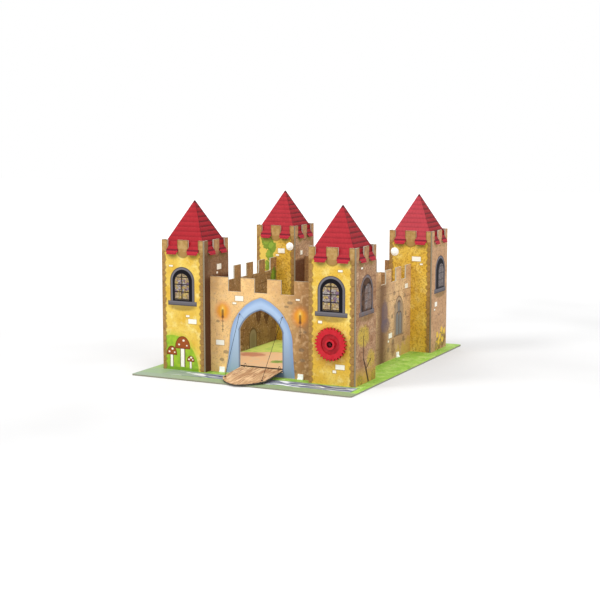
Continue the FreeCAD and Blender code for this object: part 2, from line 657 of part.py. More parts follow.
# Hinge: a rod behind the gate, held by two glued strips, with two thread loops round it
def make_hinge():
    rod = doc.addObject("Part::Cylinder", "HingeRod")
    place(rod, f"{GATE_MIDDLE} - gate_width / 2 - rod_reach", ROD_Y, ROD_Z, (V(0, 1, 0), 90))
    set_sizes(rod, Radius="rod_radius", Height="gate_width + 2 * rod_reach")
    keep(rod, "hinge_rod")
    sleeve = "(rod_radius + rod_gap)"
    middle = f"(keeper_flange + {sleeve} + keeper_card)"
    for side, x in (("left", f"{GATE_MIDDLE} - gate_width / 2 - (rod_reach + keeper_width) / 2"),
                    ("right", f"{GATE_MIDDLE} + gate_width / 2 + (rod_reach - keeper_width) / 2")):
        name = f"rod_keeper_{side}"
        body = new_body(name, x, f"{GATE_Y} + board", f"{ROD_Z} - {middle}")
        profile = new_sketch(body, f"{name}_profile", "YZ")
        draw_loop(profile, [
            ("0", "0"), ("keeper_card", "0"), ("keeper_card", "keeper_flange"),
            (sleeve, "keeper_flange", f"{sleeve} + keeper_card"),
            (f"2 * {sleeve} + keeper_card", middle, f"{sleeve} + keeper_card"),
            (sleeve, f"{middle} + {sleeve} + keeper_card"),
            ("keeper_card", f"{middle} + {sleeve} + keeper_card"),
            ("keeper_card", f"2 * {middle}"), ("0", f"2 * {middle}")])
        pad(body, profile, "keeper_width")
        tunnel = new_sketch(body, f"{name}_tunnel", "YZ")
        draw_loop(tunnel, [
            ("0", f"{middle} - {sleeve}"), (sleeve, f"{middle} - {sleeve}", sleeve),
            (f"2 * {sleeve}", middle, sleeve), (sleeve, f"{middle} + {sleeve}"),
            ("0", f"{middle} + {sleeve}")])
        cut(body, tunnel, reverse=True)
        offset = "(gate_width / 2 - bridge_gap - loop_inset)"
        sign = "-" if side == "left" else "+"
        name = f"hinge_loop_{side}"
        loop = new_body(name, f"{GATE_MIDDLE} {sign} {offset}", ROD_Y, ROD_Z, (V(0, 0, 1), 90))
        section = new_sketch(loop, f"{name}_section", "XY")
        draw_loop(section, many_sided("loop_radius", "string_radius", 4))
        revolve(loop, section)


# Crank: a gear outside the front right tower that turns a string spool inside it
OUTWARDS = (V(1, 0, 0), 90)
CRANK_X = f"({RIGHT_X} + {AXLE_X})"
CRANK_Z = "(board + axle_up)"
BORE = "(axle_radius + press_gap)"


def make_gear():
    body = new_body("crank_gear", CRANK_X, f"{FRONT_Y} - gear_gap", CRANK_Z, OUTWARDS)
    root = "(gear_radius - tooth_height)"
    face = "(boss_length + gear_rim)"
    profile = new_sketch(body, "GearProfile", "XZ")
    draw_loop(profile, [
        (BORE, "0"), ("boss_radius", "0"), ("boss_radius", "boss_length"),
        (root, "boss_length"), (root, face), ("recess_radius", face),
        ("recess_radius", f"{face} - gear_recess"), ("hub_radius", f"{face} - gear_recess"),
        ("hub_radius", "boss_length + hub_height"), ("hub_bore", "boss_length + hub_height"),
        ("hub_bore", "boss_length + hub_floor"), (BORE, "boss_length + hub_floor")])
    revolve(body, profile)
    half_foot = f"({root} * pi / gear_teeth * tooth_foot)"
    half_tip = f"({half_foot} * tooth_tip)"
    tooth = new_sketch(body, "GearTooth", "XY", "boss_length")
    draw_loop(tooth, [
        (f"{root} - tooth_root", f"-{half_foot}"), ("gear_radius", f"-{half_tip}"),
        ("gear_radius", half_tip), (f"{root} - tooth_root", half_foot)])
    first = pad(body, tooth, "gear_rim")
    teeth = body.newObject("PartDesign::PolarPattern", "GearTeeth")
    teeth.Originals = [first]
    teeth.Axis = (tooth, ["N_Axis"])
    teeth.Angle = 360
    set_sizes(teeth, Occurrences="gear_teeth")
    body.Tip = teeth


def make_turned(name, back, corners):
    """A turned piece on the crank's axis whose profile starts at its back end."""
    body = new_body(name, CRANK_X, f"{FRONT_Y} + {back}", CRANK_Z, OUTWARDS)
    revolve(body, draw_loop(new_sketch(body, f"{name}_profile", "XZ"), corners))


def make_crank():
    make_gear()
    back = "(bearing_back + board + gear_gap + collar_length + axle_chamfer)"
    front = "(gear_gap + boss_length + hub_height - axle_sunk)"
    run = f"({back} + {front})"
    make_turned("crank_axle", back, [
        ("0", "0"), ("axle_radius - rod_gap", "0"), ("axle_radius", "axle_chamfer"),
        ("axle_radius", f"{run} - axle_chamfer"), ("axle_radius - rod_gap", run), ("0", run)])
    make_turned("string_spool", "(spool_start + spool_length)", [
        (BORE, "0"), ("spool_flange", "0"), ("spool_flange", "spool_wall"),
        ("spool_core", "spool_wall"), ("spool_core", "spool_length - spool_wall"),
        ("spool_flange", "spool_length - spool_wall"), ("spool_flange", "spool_length"),
        (BORE, "spool_length")])
    for name, start in (("front_collar", "board + gear_gap"),
                        ("rear_collar", "bearing_back + board + gear_gap")):
        make_turned(name, f"({start} + collar_length)", [
            (BORE, "0"), ("collar_radius", "0"), ("collar_radius", "collar_length"),
            (BORE, "collar_length")])
    make_turned("spool_winding", f"({LEAD_ALONG} + winding_width / 2)", [
        ("spool_core + press_gap", "0"), ("spool_core + 2 * string_radius", "0"),
        ("spool_core + 2 * string_radius", "winding_width"),
        ("spool_core + press_gap", "winding_width")])


def make_bearing():
    """A folded plate across the inside of the tower that carries the axle's back end."""
    width = "(tower_width - 2 * board - 2 * fit_gap)"
    back = "(board + bearing_flap)"
    body = new_body("bearing_plate", f"{RIGHT_X} + board + fit_gap", f"{FRONT_Y} + bearing_back",
                    f"{CRANK_Z} - bearing_height / 2")
    section = new_sketch(body, "BearingSection", "XY")
    draw_loop(section, [
        ("0", "0"), (width, "0"), (width, back), (f"{width} - board", back),
        (f"{width} - board", "board"), ("board", "board"), ("board", back), ("0", back)])
    pad(body, section, "bearing_height")
    hole = new_sketch(body, "BearingHole", "XZ")
    draw_circle(hole, f"{width} / 2", "bearing_height / 2", "axle_radius + axle_run")
    cut(body, hole, "board")


# Strings: one length each, from the spool through the tower and the gate to the drawbridge
def at(across, along, up):
    return V(worth(across), worth(along), worth(up))


def ring_section(centre, onward, radius):
    """A six-sided outline round a point, square to the way onward."""
    turn = FreeCAD.Rotation(V(0, 0, 1), onward)
    corners = []
    for number in range(6):
        angle = math.pi * number / 3
        corners.append(centre + turn.multVec(V(math.cos(angle), math.sin(angle), 0) * radius))
    return Part.makePolygon(corners + corners[:1])


def tube_along(points, radius, bend):
    """A round cord through points: straight runs joined by tangent arcs of one radius."""
    edges = []
    start = points[0]
    for before, corner, after in zip(points, points[1:], points[2:]):
        inward = (before - corner).normalize()
        onward = (after - corner).normalize()
        half = inward.getAngle(onward) / 2
        reach = bend / math.tan(half)
        first = corner + inward * reach
        last = corner + onward * reach
        middle = (inward + onward).normalize()
        crown = corner + middle * (bend / math.sin(half) - bend)
        edges.append(Part.LineSegment(start, first).toShape())
        edges.append(Part.Arc(first, crown, last).toShape())
        start = last
    edges.append(Part.LineSegment(start, points[-1]).toShape())
    path = Part.Wire(edges)
    section = ring_section(points[0], points[1] - points[0], radius)
    tube = path.makePipeShell([section], True, True)
    print("cord length", round(path.Length, 1), "volume ratio",
          round(tube.Volume / (Part.Face(section).Area * path.Length), 4), "bend", bend)
    return tube


def keep_shape(name, shape):
    thing = doc.addObject("Part::Feature", name)
    thing.Shape = shape
    return keep(thing, name)


def make_strings():
    radius = worth("string_radius")
    bend = worth("string_bend")
    gap = worth("fit_gap")
    drop = "bridge_drop"
    top = "(knot_radius - rod_radius)"
    hole_z = "board + string_hole_up"
    for side, sign, lane in (("left", "-", "- string_pitch / 2"), ("right", "+", "+ string_pitch / 2")):
        hole_x = f"{GATE_MIDDLE} {sign} string_hole_half"
        mouth = at(hole_x, f"{GATE_Y} - 2 * string_radius", hole_z)
        knot = at(f"{GATE_MIDDLE} {sign} knot_half",
                  f"{ROD_Y} - knot_along * cos({drop}) - {top} * sin({drop})",
                  f"{ROD_Z} - knot_along * sin({drop}) + {top} * cos({drop})")
        pull = (knot - mouth).normalize()
        end = knot - pull * (radius + gap)
        outer = Part.makeCylinder(radius, (end - mouth).Length, mouth, pull)
        keep_shape(f"bridge_string_{side}", outer)
        lane_y = f"{FRONT_Y} + {LEAD_ALONG} {lane}"
        points = [
            at(hole_x, f"{GATE_Y}", hole_z),
            at(hole_x, lane_y, hole_z),
            at(f"{RIGHT_X} + board + string_bend", lane_y, "board + lead_up + lead_hole / 2"),
            at(f"{CRANK_X} - spool_core - 3 * string_radius - 2 * fit_gap", lane_y, CRANK_Z)]
        keep_shape(f"winding_string_{side}", tube_along(points, radius, bend))


# Corner rivets through the rear towers, and the clips at the walls' feet
def make_rivets():
    grip = "rivet_grip"
    for side, x in (("left", f"{LEFT_X} + tower_width - rivet_inset"),
                    ("right", f"{RIGHT_X} + rivet_inset")):
        name = f"corner_rivet_{side}"
        body = new_body(name, x, f"{REAR_Y} + {grip} - press_gap", "board + tower_height - rivet_drop", OUTWARDS)
        profile = new_sketch(body, f"{name}_profile", "XZ")
        draw_loop(profile, [
            ("0", "0"), ("rivet_stem", "0"), ("rivet_stem", grip), ("rivet_radius", grip),
            ("rivet_radius", f"{grip} + rivet_edge"), ("rivet_crown", f"{grip} + rivet_dome"),
            ("0", f"{grip} + rivet_dome")])
        revolve(body, profile)
        name = f"rivet_washer_{side}"
        body = new_body(name, x, f"{REAR_Y} + board + press_gap + washer_thick",
                        "board + tower_height - rivet_drop", OUTWARDS)
        profile = new_sketch(body, f"{name}_outline", "XY")
        outer = "(rivet_stem + washer_rim)"
        draw_box(profile, f"-{outer}", f"-{outer}", f"2 * {outer}", f"2 * {outer}")
        draw_circle(profile, "0", "0", "rivet_stem + press_gap")
        pad(body, profile, "washer_thick")


def make_clip(name, x, y, turn):
    """An angle whose back lies on a wall and whose foot lies on the base."""
    body = new_body(name, x, y, "board", turn)
    back = "(clip_foot - clip_wall)"
    profile = new_sketch(body, f"{name}_profile", "YZ")
    draw_loop(profile, [
        ("0", "0"), ("clip_foot", "0"), ("clip_foot", "clip_height"), (back, "clip_height"),
        (back, "clip_wall"), ("0", "clip_wall")])
    pad(body, profile, "clip_width")


def make_clips():
    gate_left = f"{LEFT_X} + tower_width + gate_clip_inset - clip_width / 2"
    gate_right = f"{RIGHT_X} - gate_clip_inset - clip_width / 2"
    for name, x in (("gate_clip_left", gate_left), ("gate_clip_right", gate_right)):
        make_clip(name, x, f"{GATE_Y} - clip_foot", None)
    back_face = f"{REAR_Y} + back_line + board / 2 + clip_foot"
    back_left = f"{LEFT_X} + tower_width + back_clip_inset + clip_width / 2"
    back_right = f"{RIGHT_X} - back_clip_inset + clip_width / 2"
    for name, x in (("back_clip_left", back_left), ("back_clip_right", back_right)):
        make_clip(name, x, back_face, (V(0, 0, 1), 180))
    front_y = f"{FRONT_Y} + tower_depth + side_clip_inset"
    rear_y = f"{REAR_Y} - side_clip_inset"
    for end, y in (("front", front_y), ("rear", rear_y)):
        make_clip(f"left_clip_{end}", f"{LEFT_X} + side_line - board / 2 - clip_foot",
                  f"{y} + clip_width / 2", (V(0, 0, 1), -90))
        make_clip(f"right_clip_{end}", f"{RIGHT_X} + side_line + board / 2 + clip_foot",
                  f"{y} - clip_width / 2", (V(0, 0, 1), 90))


def make_towers():
    side_slot = "side_line - board / 2"
    back_slot = "back_line - board / 2"
    left_rivet = ("front", "tower_width - rivet_inset", "(tower_height - rivet_drop)", "rivet_stem + fit_gap")
    right_rivet = ("front", "rivet_inset", "(tower_height - rivet_drop)", "rivet_stem + fit_gap")
    axle_hole = ("front", AXLE_X, "axle_up", "axle_radius + axle_run")
    lead_hole = ("left", LEAD_ALONG, "lead_up", "lead_hole")
    slots = {
        "front_left": [("right", "gate_setback"), ("rear", side_slot)],
        "front_right": [("left", "gate_setback"), ("rear", side_slot)],
        "rear_left": [("right", back_slot), ("front", side_slot)],
        "rear_right": [("left", back_slot), ("front", side_slot)]}
    holes = {
        "front_left": [], "front_right": [axle_hole, lead_hole],
        "rear_left": [left_rivet], "rear_right": [right_rivet]}
    for name, x, y in TOWER_PLACES:
        make_tower(f"{name}_tower", x, y, slots[name], holes[name])


make_base()
make_towers()
make_roofs()
make_walls()
make_drawbridge()
make_hinge()
make_crank()
make_bearing()
make_strings()
make_rivets()
make_clips()
doc.recompute()

failed = [thing.Label for thing in doc.Objects
          if "Invalid" in thing.State or "Error" in thing.State]
if failed:
    raise RuntimeError(f"these did not build: {failed}")
os.makedirs("parts", exist_ok=True)
for thing in finished:
    if thing.Shape.isNull() or not thing.Shape.isValid():
        raise RuntimeError(f"{thing.Label} has no valid shape")
    solids = len(thing.Shape.Solids)
    print(thing.Label, solids, round(thing.Shape.Volume, 1), thing.Shape.BoundBox)
    thing.Shape.exportStep(f"parts/{thing.Label}.step")
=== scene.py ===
import math

import bpy
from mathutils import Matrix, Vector


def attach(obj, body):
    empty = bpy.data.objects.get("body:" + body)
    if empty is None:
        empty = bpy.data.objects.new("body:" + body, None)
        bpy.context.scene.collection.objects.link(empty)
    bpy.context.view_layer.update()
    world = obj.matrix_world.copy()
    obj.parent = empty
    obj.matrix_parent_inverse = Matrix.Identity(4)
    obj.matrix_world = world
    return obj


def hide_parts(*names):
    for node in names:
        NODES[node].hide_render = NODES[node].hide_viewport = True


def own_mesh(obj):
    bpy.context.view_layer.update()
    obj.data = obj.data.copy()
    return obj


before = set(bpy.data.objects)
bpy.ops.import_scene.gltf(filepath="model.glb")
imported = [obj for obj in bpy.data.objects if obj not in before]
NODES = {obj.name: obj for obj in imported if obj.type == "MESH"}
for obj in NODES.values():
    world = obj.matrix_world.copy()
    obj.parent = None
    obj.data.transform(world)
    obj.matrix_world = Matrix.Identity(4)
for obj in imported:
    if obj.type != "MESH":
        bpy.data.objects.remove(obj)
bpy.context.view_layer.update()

bl_info = {
    "name": "Card castle",
    "version": (1, 0, 0),
    "blender": (4, 5, 0),
    "location": "View3D > Sidebar > Castle",
    "description": "Prints, strings and stage for a card castle with a drawbridge",
    "category": "Object",
}

MM = 0.001


def linear(*rgb):
    """A colour picker's 0 to 255 values as the linear values that a shader takes."""
    shares = [value / 255 for value in rgb]
    return tuple(s / 12.92 if s <= 0.04045 else ((s + 0.055) / 1.055) ** 2.4 for s in shares)


def tint(name, description, *rgb):
    return bpy.props.FloatVectorProperty(
        name=name, description=description, subtype="COLOR", size=3, min=0, max=1,
        default=linear(*rgb))


def length(name, description, millimetres):
    return bpy.props.FloatProperty(
        name=name, description=description, unit="LENGTH", min=0, default=millimetres * MM)


class CastleColours(bpy.types.PropertyGroup):
    plaster: tint("Plaster", "Lit plaster on the towers", 238, 206, 100)
    plaster_gold: tint("Gold plaster", "Deeper patches of the plaster", 224, 178, 60)
    plaster_mark: tint("Plaster marks", "Scribbled marks on the plaster", 168, 118, 44)
    quoin: tint("Quoins", "Stones along the towers' corners", 172, 134, 78)
    quoin_dark: tint("Quoin shade", "Shade beside the corner stones", 118, 86, 42)
    stone: tint("Stone", "Stone of the gate wall", 250, 208, 142)
    stone_warm: tint("Warm stone", "Warm patches of that stone", 204, 154, 102)
    stone_brown: tint("Brown stone", "Stone on the towers' sides", 172, 128, 92)
    stone_deep: tint("Deep stone", "Dark patches of the brown stone", 96, 64, 42)
    stone_grey: tint("Grey stone", "Single grey stones in the walls", 122, 104, 84)
    brick: tint("Pale brick", "Bricks that are printed nearly white", 250, 246, 232)
    arch: tint("Arch", "Stone round the gate", 168, 192, 222)
    arch_deep: tint("Arch foot", "The same stone at its feet", 128, 144, 162)
    glow: tint("Torch glow", "Light round the torches", 236, 160, 48)
    iron: tint("Iron", "Torch holders and window leads", 70, 54, 46)
    frame_grey: tint("Window stone", "Frames and sills of the windows", 104, 101, 106)
    recess: tint("Window recess", "Shade inside the window frames", 20, 18, 24)
    pane_gold: tint("Gold glass", "Yellow window glass", 198, 170, 100)
    pane_violet: tint("Violet glass", "Violet window glass", 124, 94, 124)
    pane_pale: tint("Pale glass", "Pale window glass", 180, 170, 164)
    roof: tint("Roof", "Tiles on the roofs' fronts", 158, 22, 34)
    roof_line: tint("Tile shade", "Lines between the rows of tiles", 74, 8, 16)
    grass: tint("Grass", "Grass on the base", 150, 194, 78)
    grass_pale: tint("Pale grass", "Lighter strokes in the grass", 190, 214, 122)
    grass_dull: tint("Dull grass", "Grass along the front edge", 134, 148, 118)
    path: tint("Path", "Sandy ground inside the gate", 252, 206, 154)
    water: tint("Water", "Moat in front of the gate", 122, 122, 156)
    foam: tint("Foam", "Pale waves on the moat", 166, 176, 172)
    leaf: tint("Leaves", "Leaves of the painted plants", 196, 166, 62)
    leaf_dark: tint("Dark leaves", "Shade in the painted plants", 120, 108, 46)
    bark: tint("Bark", "Trunks of the painted trees", 52, 34, 30)
    cap: tint("Toadstool", "Caps of the painted toadstools", 158, 82, 40)
    board: tint("Board", "Cut edges and backs of the board", 192, 184, 164)
    wood: tint("Wood", "Planks of the drawbridge", 190, 154, 112)
    wood_dark: tint("Wood grain", "Grain of the drawbridge", 138, 90, 54)
    string: tint("String", "Strings, loops and knots", 20, 20, 24)
    gear: tint("Gear", "Red plastic of the crank", 196, 28, 42)
    white: tint("White plastic", "Rivets and foot clips", 252, 252, 248)
    floor: tint("Floor", "Floor under the castle", 170, 170, 170)


class CastleSizes(bpy.types.PropertyGroup):
    tile_row: length("Tile row", "Height of a row of roof tiles", 6.6)
    scallop: length("Scallop", "Height of one corner stone in the tower prints", 9.6)
    string_thickness: length("String", "Thickness of the strings", 0.8)
    string_lay: length("Lay", "Length over which the string's strands turn once", 2.6)
    floor_size: length("Floor", "Side of the floor", 9000)
    key_power: bpy.props.FloatProperty(
        name="Key light", description="Power of the main lamp", min=0, default=30)
    fill_power: bpy.props.FloatProperty(
        name="Fill light", description="Power of the lamp on the right", min=0, default=14)
    top_power: bpy.props.FloatProperty(
        name="Top light", description="Power of the lamp above", min=0, default=20)
    floor_lift: bpy.props.FloatProperty(
        name="Floor lift", description="Glow that keeps the floor white in the picture",
        min=0, default=0.17)
    sky_strength: bpy.props.FloatProperty(
        name="Sky", description="Strength of the light from all round", min=0, default=0.9)


class Tone:
    """A number that varies over a surface. Sums with it add nodes to its material."""

    def __init__(self, ink, socket):
        self.ink = ink
        self.socket = socket

    def __add__(self, other):
        return self.ink.sum("ADD", self, other)

    def __sub__(self, other):
        return self.ink.sum("SUBTRACT", self, other)

    def __rsub__(self, other):
        return self.ink.sum("SUBTRACT", other, self)

    def __mul__(self, other):
        return self.ink.sum("MULTIPLY", self, other)

    def __truediv__(self, other):
        return self.ink.sum("DIVIDE", self, other)

    def __mod__(self, other):
        return self.ink.sum("FLOORED_MODULO", self, other)

    def __abs__(self):
        return self.ink.sum("ABSOLUTE", self)

    __radd__ = __add__
    __rmul__ = __mul__

    def sine(self):
        return self.ink.sum("SINE", self)

    def floor(self):
        return self.ink.sum("FLOOR", self)

    def most(self, other):
        return self.ink.sum("MAXIMUM", self, other)

    def least(self, other):
        return self.ink.sum("MINIMUM", self, other)

    def above(self, edge, soft=0.4):
        """1 where this is above the edge and 0 below it, with a soft step between."""
        if isinstance(edge, Tone):
            return (self - edge).above(0, soft)
        return self.ink.clamp(self.ink.sum("MULTIPLY_ADD", self, 1 / soft, 0.5 - edge / soft))

    def below(self, edge, soft=0.4):
        if isinstance(edge, Tone):
            return (self - edge).below(0, soft)
        return self.ink.clamp(self.ink.sum("MULTIPLY_ADD", self, -1 / soft, 0.5 + edge / soft))

    def reach(self, other):
        """The distance that this and another number make as the sides of a right angle."""
        square = self.ink.sum("MULTIPLY", other, other)
        return self.ink.sum("SQRT", self.ink.sum("MULTIPLY_ADD", self, self, square))


class Ink:
    """A material built in layers. Coordinates are in millimetres in the castle's own frame."""

    def __init__(self, name, ground, roughness=0.55, coat=0.0):
        self.material = bpy.data.materials.new(name)
        self.material.use_nodes = True
        self.tree = self.material.node_tree
        self.shader = self.tree.nodes["Principled BSDF"]
        self.shader.inputs["Roughness"].default_value = roughness
        self.shader.inputs["Specular IOR Level"].default_value = 0.1
        self.shader.inputs["Coat Weight"].default_value = coat
        self.colour = ground
        self.relief = None
        self.grains = {}
        metres = self.add("ShaderNodeTexCoord", out="Object")
        self.place = self.add("ShaderNodeVectorMath", {"operation": "SCALE"},
                              {"Vector": metres, "Scale": 1 / MM}, out="Vector")
        self.x, self.y, self.z = self.split(self.place)
        facing = self.add("ShaderNodeTexCoord", out="Normal")
        self.facing_x, self.facing_y, self.facing_z = self.split(facing)

    def add(self, kind, settings=None, values=None, out=0):
        """A node with its settings made first, then the values or links of its sockets."""
        node = self.tree.nodes.new(kind)
        for key, value in (settings or {}).items():
            setattr(node, key, value)
        for key, value in (values or {}).items():
            socket = node.inputs[key]
            if isinstance(value, Tone):
                self.tree.links.new(value.socket, socket)
            elif socket.type == "RGBA":
                socket.default_value = (*value, 1)
            else:
                socket.default_value = value
        return Tone(self, node.outputs[out])

    def sum(self, operation, *terms):
        return self.add("ShaderNodeMath", {"operation": operation}, dict(enumerate(terms)))

    def clamp(self, value):
        return self.add("ShaderNodeClamp", None, {"Value": value})

    def split(self, vector):
        first = self.add("ShaderNodeSeparateXYZ", values={0: vector})
        return [Tone(self, socket) for socket in first.socket.node.outputs]

    def noise(self, size, detail=2.0, stretch=(1, 1, 1)):
        """Soft noise from 0 to 1 whose blotches are about as large as size."""
        key = (size, detail, stretch)
        if key not in self.grains:
            place = self.place
            if stretch != (1, 1, 1):
                place = self.add("ShaderNodeMapping", {"vector_type": "POINT"},
                                 {"Vector": place, "Scale": stretch})
            self.grains[key] = self.add(
                "ShaderNodeTexNoise", None,
                {"Vector": place, "Scale": 1 / size, "Detail": detail})
        return self.grains[key]

    def cells(self, size, out="Distance", feature="F1"):
        return self.add("ShaderNodeTexVoronoi", {"feature": feature},
                        {"Vector": self.place, "Scale": 1 / size}, out=out)

    def mix(self, first, second, share):
        return self.add("ShaderNodeMix", {"data_type": "RGBA"},
                        {0: share, 6: first, 7: second}, out=2)

    def lay(self, colour, mask):
        self.colour = self.mix(self.colour, colour, mask)

    def raise_by(self, height):
        self.relief = height if self.relief is None else self.relief + height

    def finish(self, strength=0.3, distance=0.2):
        """Joins the layers and the relief to the shader. The relief is in millimetres."""
        self.tree.links.new(self.colour.socket, self.shader.inputs["Base Color"])
        if self.relief is not None:
            bump = self.add("ShaderNodeBump", None,
                            {"Height": self.relief, "Strength": strength,
                             "Distance": distance * MM}, out="Normal")
            self.tree.links.new(bump.socket, self.shader.inputs["Normal"])
        return self.material


class Side:
    """One printed side of a board: across and up in millimetres, and where it shows."""

    def __init__(self, ink, across, up, shows):
        self.ink = ink
        self.u = across
        self.v = up
        self.shows = shows

    def lay(self, colour, mask=None):
        self.ink.lay(colour, self.shows if mask is None else self.shows * mask)

    def band(self, value, low, high, soft=0.5):
        return value.above(low, soft) * value.below(high, soft)

    def box(self, left, low, right, high, soft=0.6):
        return self.band(self.u, left, right, soft) * self.band(self.v, low, high, soft)

    def away(self, across, up, tall=1.0):
        """Distance from a point, measured with heights divided by tall."""
        return (self.u - across).reach((self.v - up) / tall)

    def disc(self, across, up, radius, tall=1.0, soft=0.6):
        return self.away(across, up, tall).below(radius, soft)

    def blob(self, across, up, radius, tall=1.0, rough=6.0, size=4.0, soft=0.8):
        """A disc with a ragged edge."""
        ragged = self.away(across, up, tall) + (self.ink.noise(size, 3) - 0.5) * rough
        return ragged.below(radius, soft)

    def arch(self, middle, spring):
        """Distance from the upright line below the spring, or from its top above it."""
        return (self.u - middle).reach((self.v - spring).most(0))

    def stroke(self, start, stop, width, soft=0.5):
        """A straight painted stroke."""
        run = (stop[0] - start[0], stop[1] - start[1])
        square = run[0] ** 2 + run[1] ** 2
        along = ((self.u - start[0]) * (run[0] / square)
                 + (self.v - start[1]) * (run[1] / square)).most(0).least(1)
        away = (self.u - (along * run[0] + start[0])).reach(
            self.v - (along * run[1] + start[1]))
        return away.below(width / 2, soft)


def dress(names, material):
    """Puts a finish on solids of the frame."""
    for name in names:
        for place in NODES[name].material_slots:
            place.material = material


def colours():
    return bpy.context.scene.castle_colours


def sizes():
    return bpy.context.scene.castle_sizes


def board_ink(name, roughness=0.55):
    """Unprinted board, as it shows at cut edges and on the back of a sheet."""
    tone = colours()
    ink = Ink(name, tone.board, roughness)
    ink.lay(linear(164, 154, 132), ink.noise(1.1, 2).above(0.5, 0.3) * 0.5)
    ink.lay(linear(218, 212, 196), ink.noise(9, 2).above(0.52, 0.3) * 0.4)
    ink.raise_by(ink.noise(0.9, 2) * 0.12)
    return ink


# Prints that several boards share

def paint_plaster(side, worn):
    """Yellow plaster. Worn plaster is deeper and covered in brown marks."""
    tone = colours()
    ink = side.ink
    side.lay(tone.plaster)
    side.lay(tone.plaster_gold, ink.noise(26, 3).above(0.5 - 0.12 * worn, 0.3) * 0.85)
    side.lay(linear(252, 236, 158), ink.noise(11, 3).above(0.62, 0.16) * (0.6 - 0.4 * worn))
    side.lay(linear(206, 164, 76), ink.noise(3.4, 3).above(0.6, 0.12) * 0.35)
    marks = ink.noise(2.4, 3).above(0.61 - 0.08 * worn, 0.1)
    side.lay(tone.plaster_mark, marks * (0.22 + 0.45 * worn))
    ink.raise_by(marks * side.shows * 0.05)


def paint_stone(side, ground, patch, dark, strength=1.0, block=11.0):
    """Rough stone with blotches, small dark specks and a few courses of blocks."""
    ink = side.ink
    side.lay(ground)
    side.lay(patch, ink.noise(19, 3).above(0.5, 0.28) * 0.8)
    specks = ink.noise(2.1, 3).above(0.6, 0.12)
    side.lay(dark, specks * (0.42 * strength))
    side.lay(linear(232, 204, 168), ink.noise(3.4, 2).above(0.64, 0.1) * (0.35 * strength))
    course = (side.v / block).floor()
    shift = (course * 0.5) % 1
    across = (side.u / (block * 1.9) + shift) % 1
    up = (side.v / block) % 1
    joint = (abs(up - 0.5).above(0.455, 0.05)).most(abs(across - 0.5).above(0.475, 0.03))
    side.lay(dark, joint * ink.noise(15, 2).above(0.52, 0.2) * (0.45 * strength))
    ink.raise_by(specks * side.shows * -0.08)


def paint_bricks(side, bricks):
    """Pale bricks given by their left, low, right and high edges."""
    tone = colours()
    for left, low, right, high in bricks:
        side.lay(tone.quoin_dark, side.box(left - 0.8, low - 1.0, right + 0.8, high + 0.5) * 0.45)
        side.lay(tone.brick, side.box(left, low, right, high))


def paint_quoins(side, width, left_stones, right_stones):
    """Scalloped stones down both sides of a tower's face."""
    tone = colours()
    ink = side.ink
    course = side.v / (sizes().scallop / MM) + (ink.noise(11, 2) - 0.5) * 1.6
    bulge = abs((course * math.pi).sine()) * 2.2 + (ink.noise(3, 2) - 0.5) * 2.6
    away = (side.u - left_stones).least((width - right_stones) - side.u) - bulge
    side.lay(tone.quoin_dark, away.below(1.2, 1.2) * 0.65)
    stones = away.below(0, 0.5)
    side.lay(tone.quoin, stones)
    side.lay(linear(146, 108, 62), stones * ink.noise(5, 2).above(0.5, 0.2) * 0.55)
    side.lay(tone.quoin_dark, stones * (course % 1).below(0.13, 0.1) * 0.6)


def paint_battlements(side, width, notch, top, faded):
    """Battlements in plain stone, the tongue below the middle one and shade below the flaps."""
    tone = colours()
    ink = side.ink
    for middle in (FLAP_MIDDLE, width - FLAP_MIDDLE):
        side.lay(linear(140, 124, 58), side.disc(middle, notch - 4.5, 8.5, 0.75, soft=7) * 0.75)
    stone = tone.quoin if not faded else tone.stone_brown
    above = side.v.above(notch - 0.8, 0.6)
    tongue = side.disc(width / 2, notch - 0.5, 8.7, 0.85)
    shade = side.disc(width / 2, notch - 1.0, 10.0, 0.9, soft=1.6)
    side.lay(tone.quoin_dark, shade.most(above) * 0.7)
    side.lay(stone, tongue.most(above))
    side.lay(linear(206, 172, 116), above * ink.noise(5, 2).above(0.5, 0.2) * 0.5)
    for middle in (FLAP_MIDDLE, width - FLAP_MIDDLE):
        rim = abs(side.u - middle).below(9.3, 0.7) * side.v.above(notch - 2, 0.6)
        side.lay(tone.quoin_dark, rim * 0.6)
    side.lay(tone.quoin_dark, side.v.above(top - 1.1, 0.6) * 0.55)


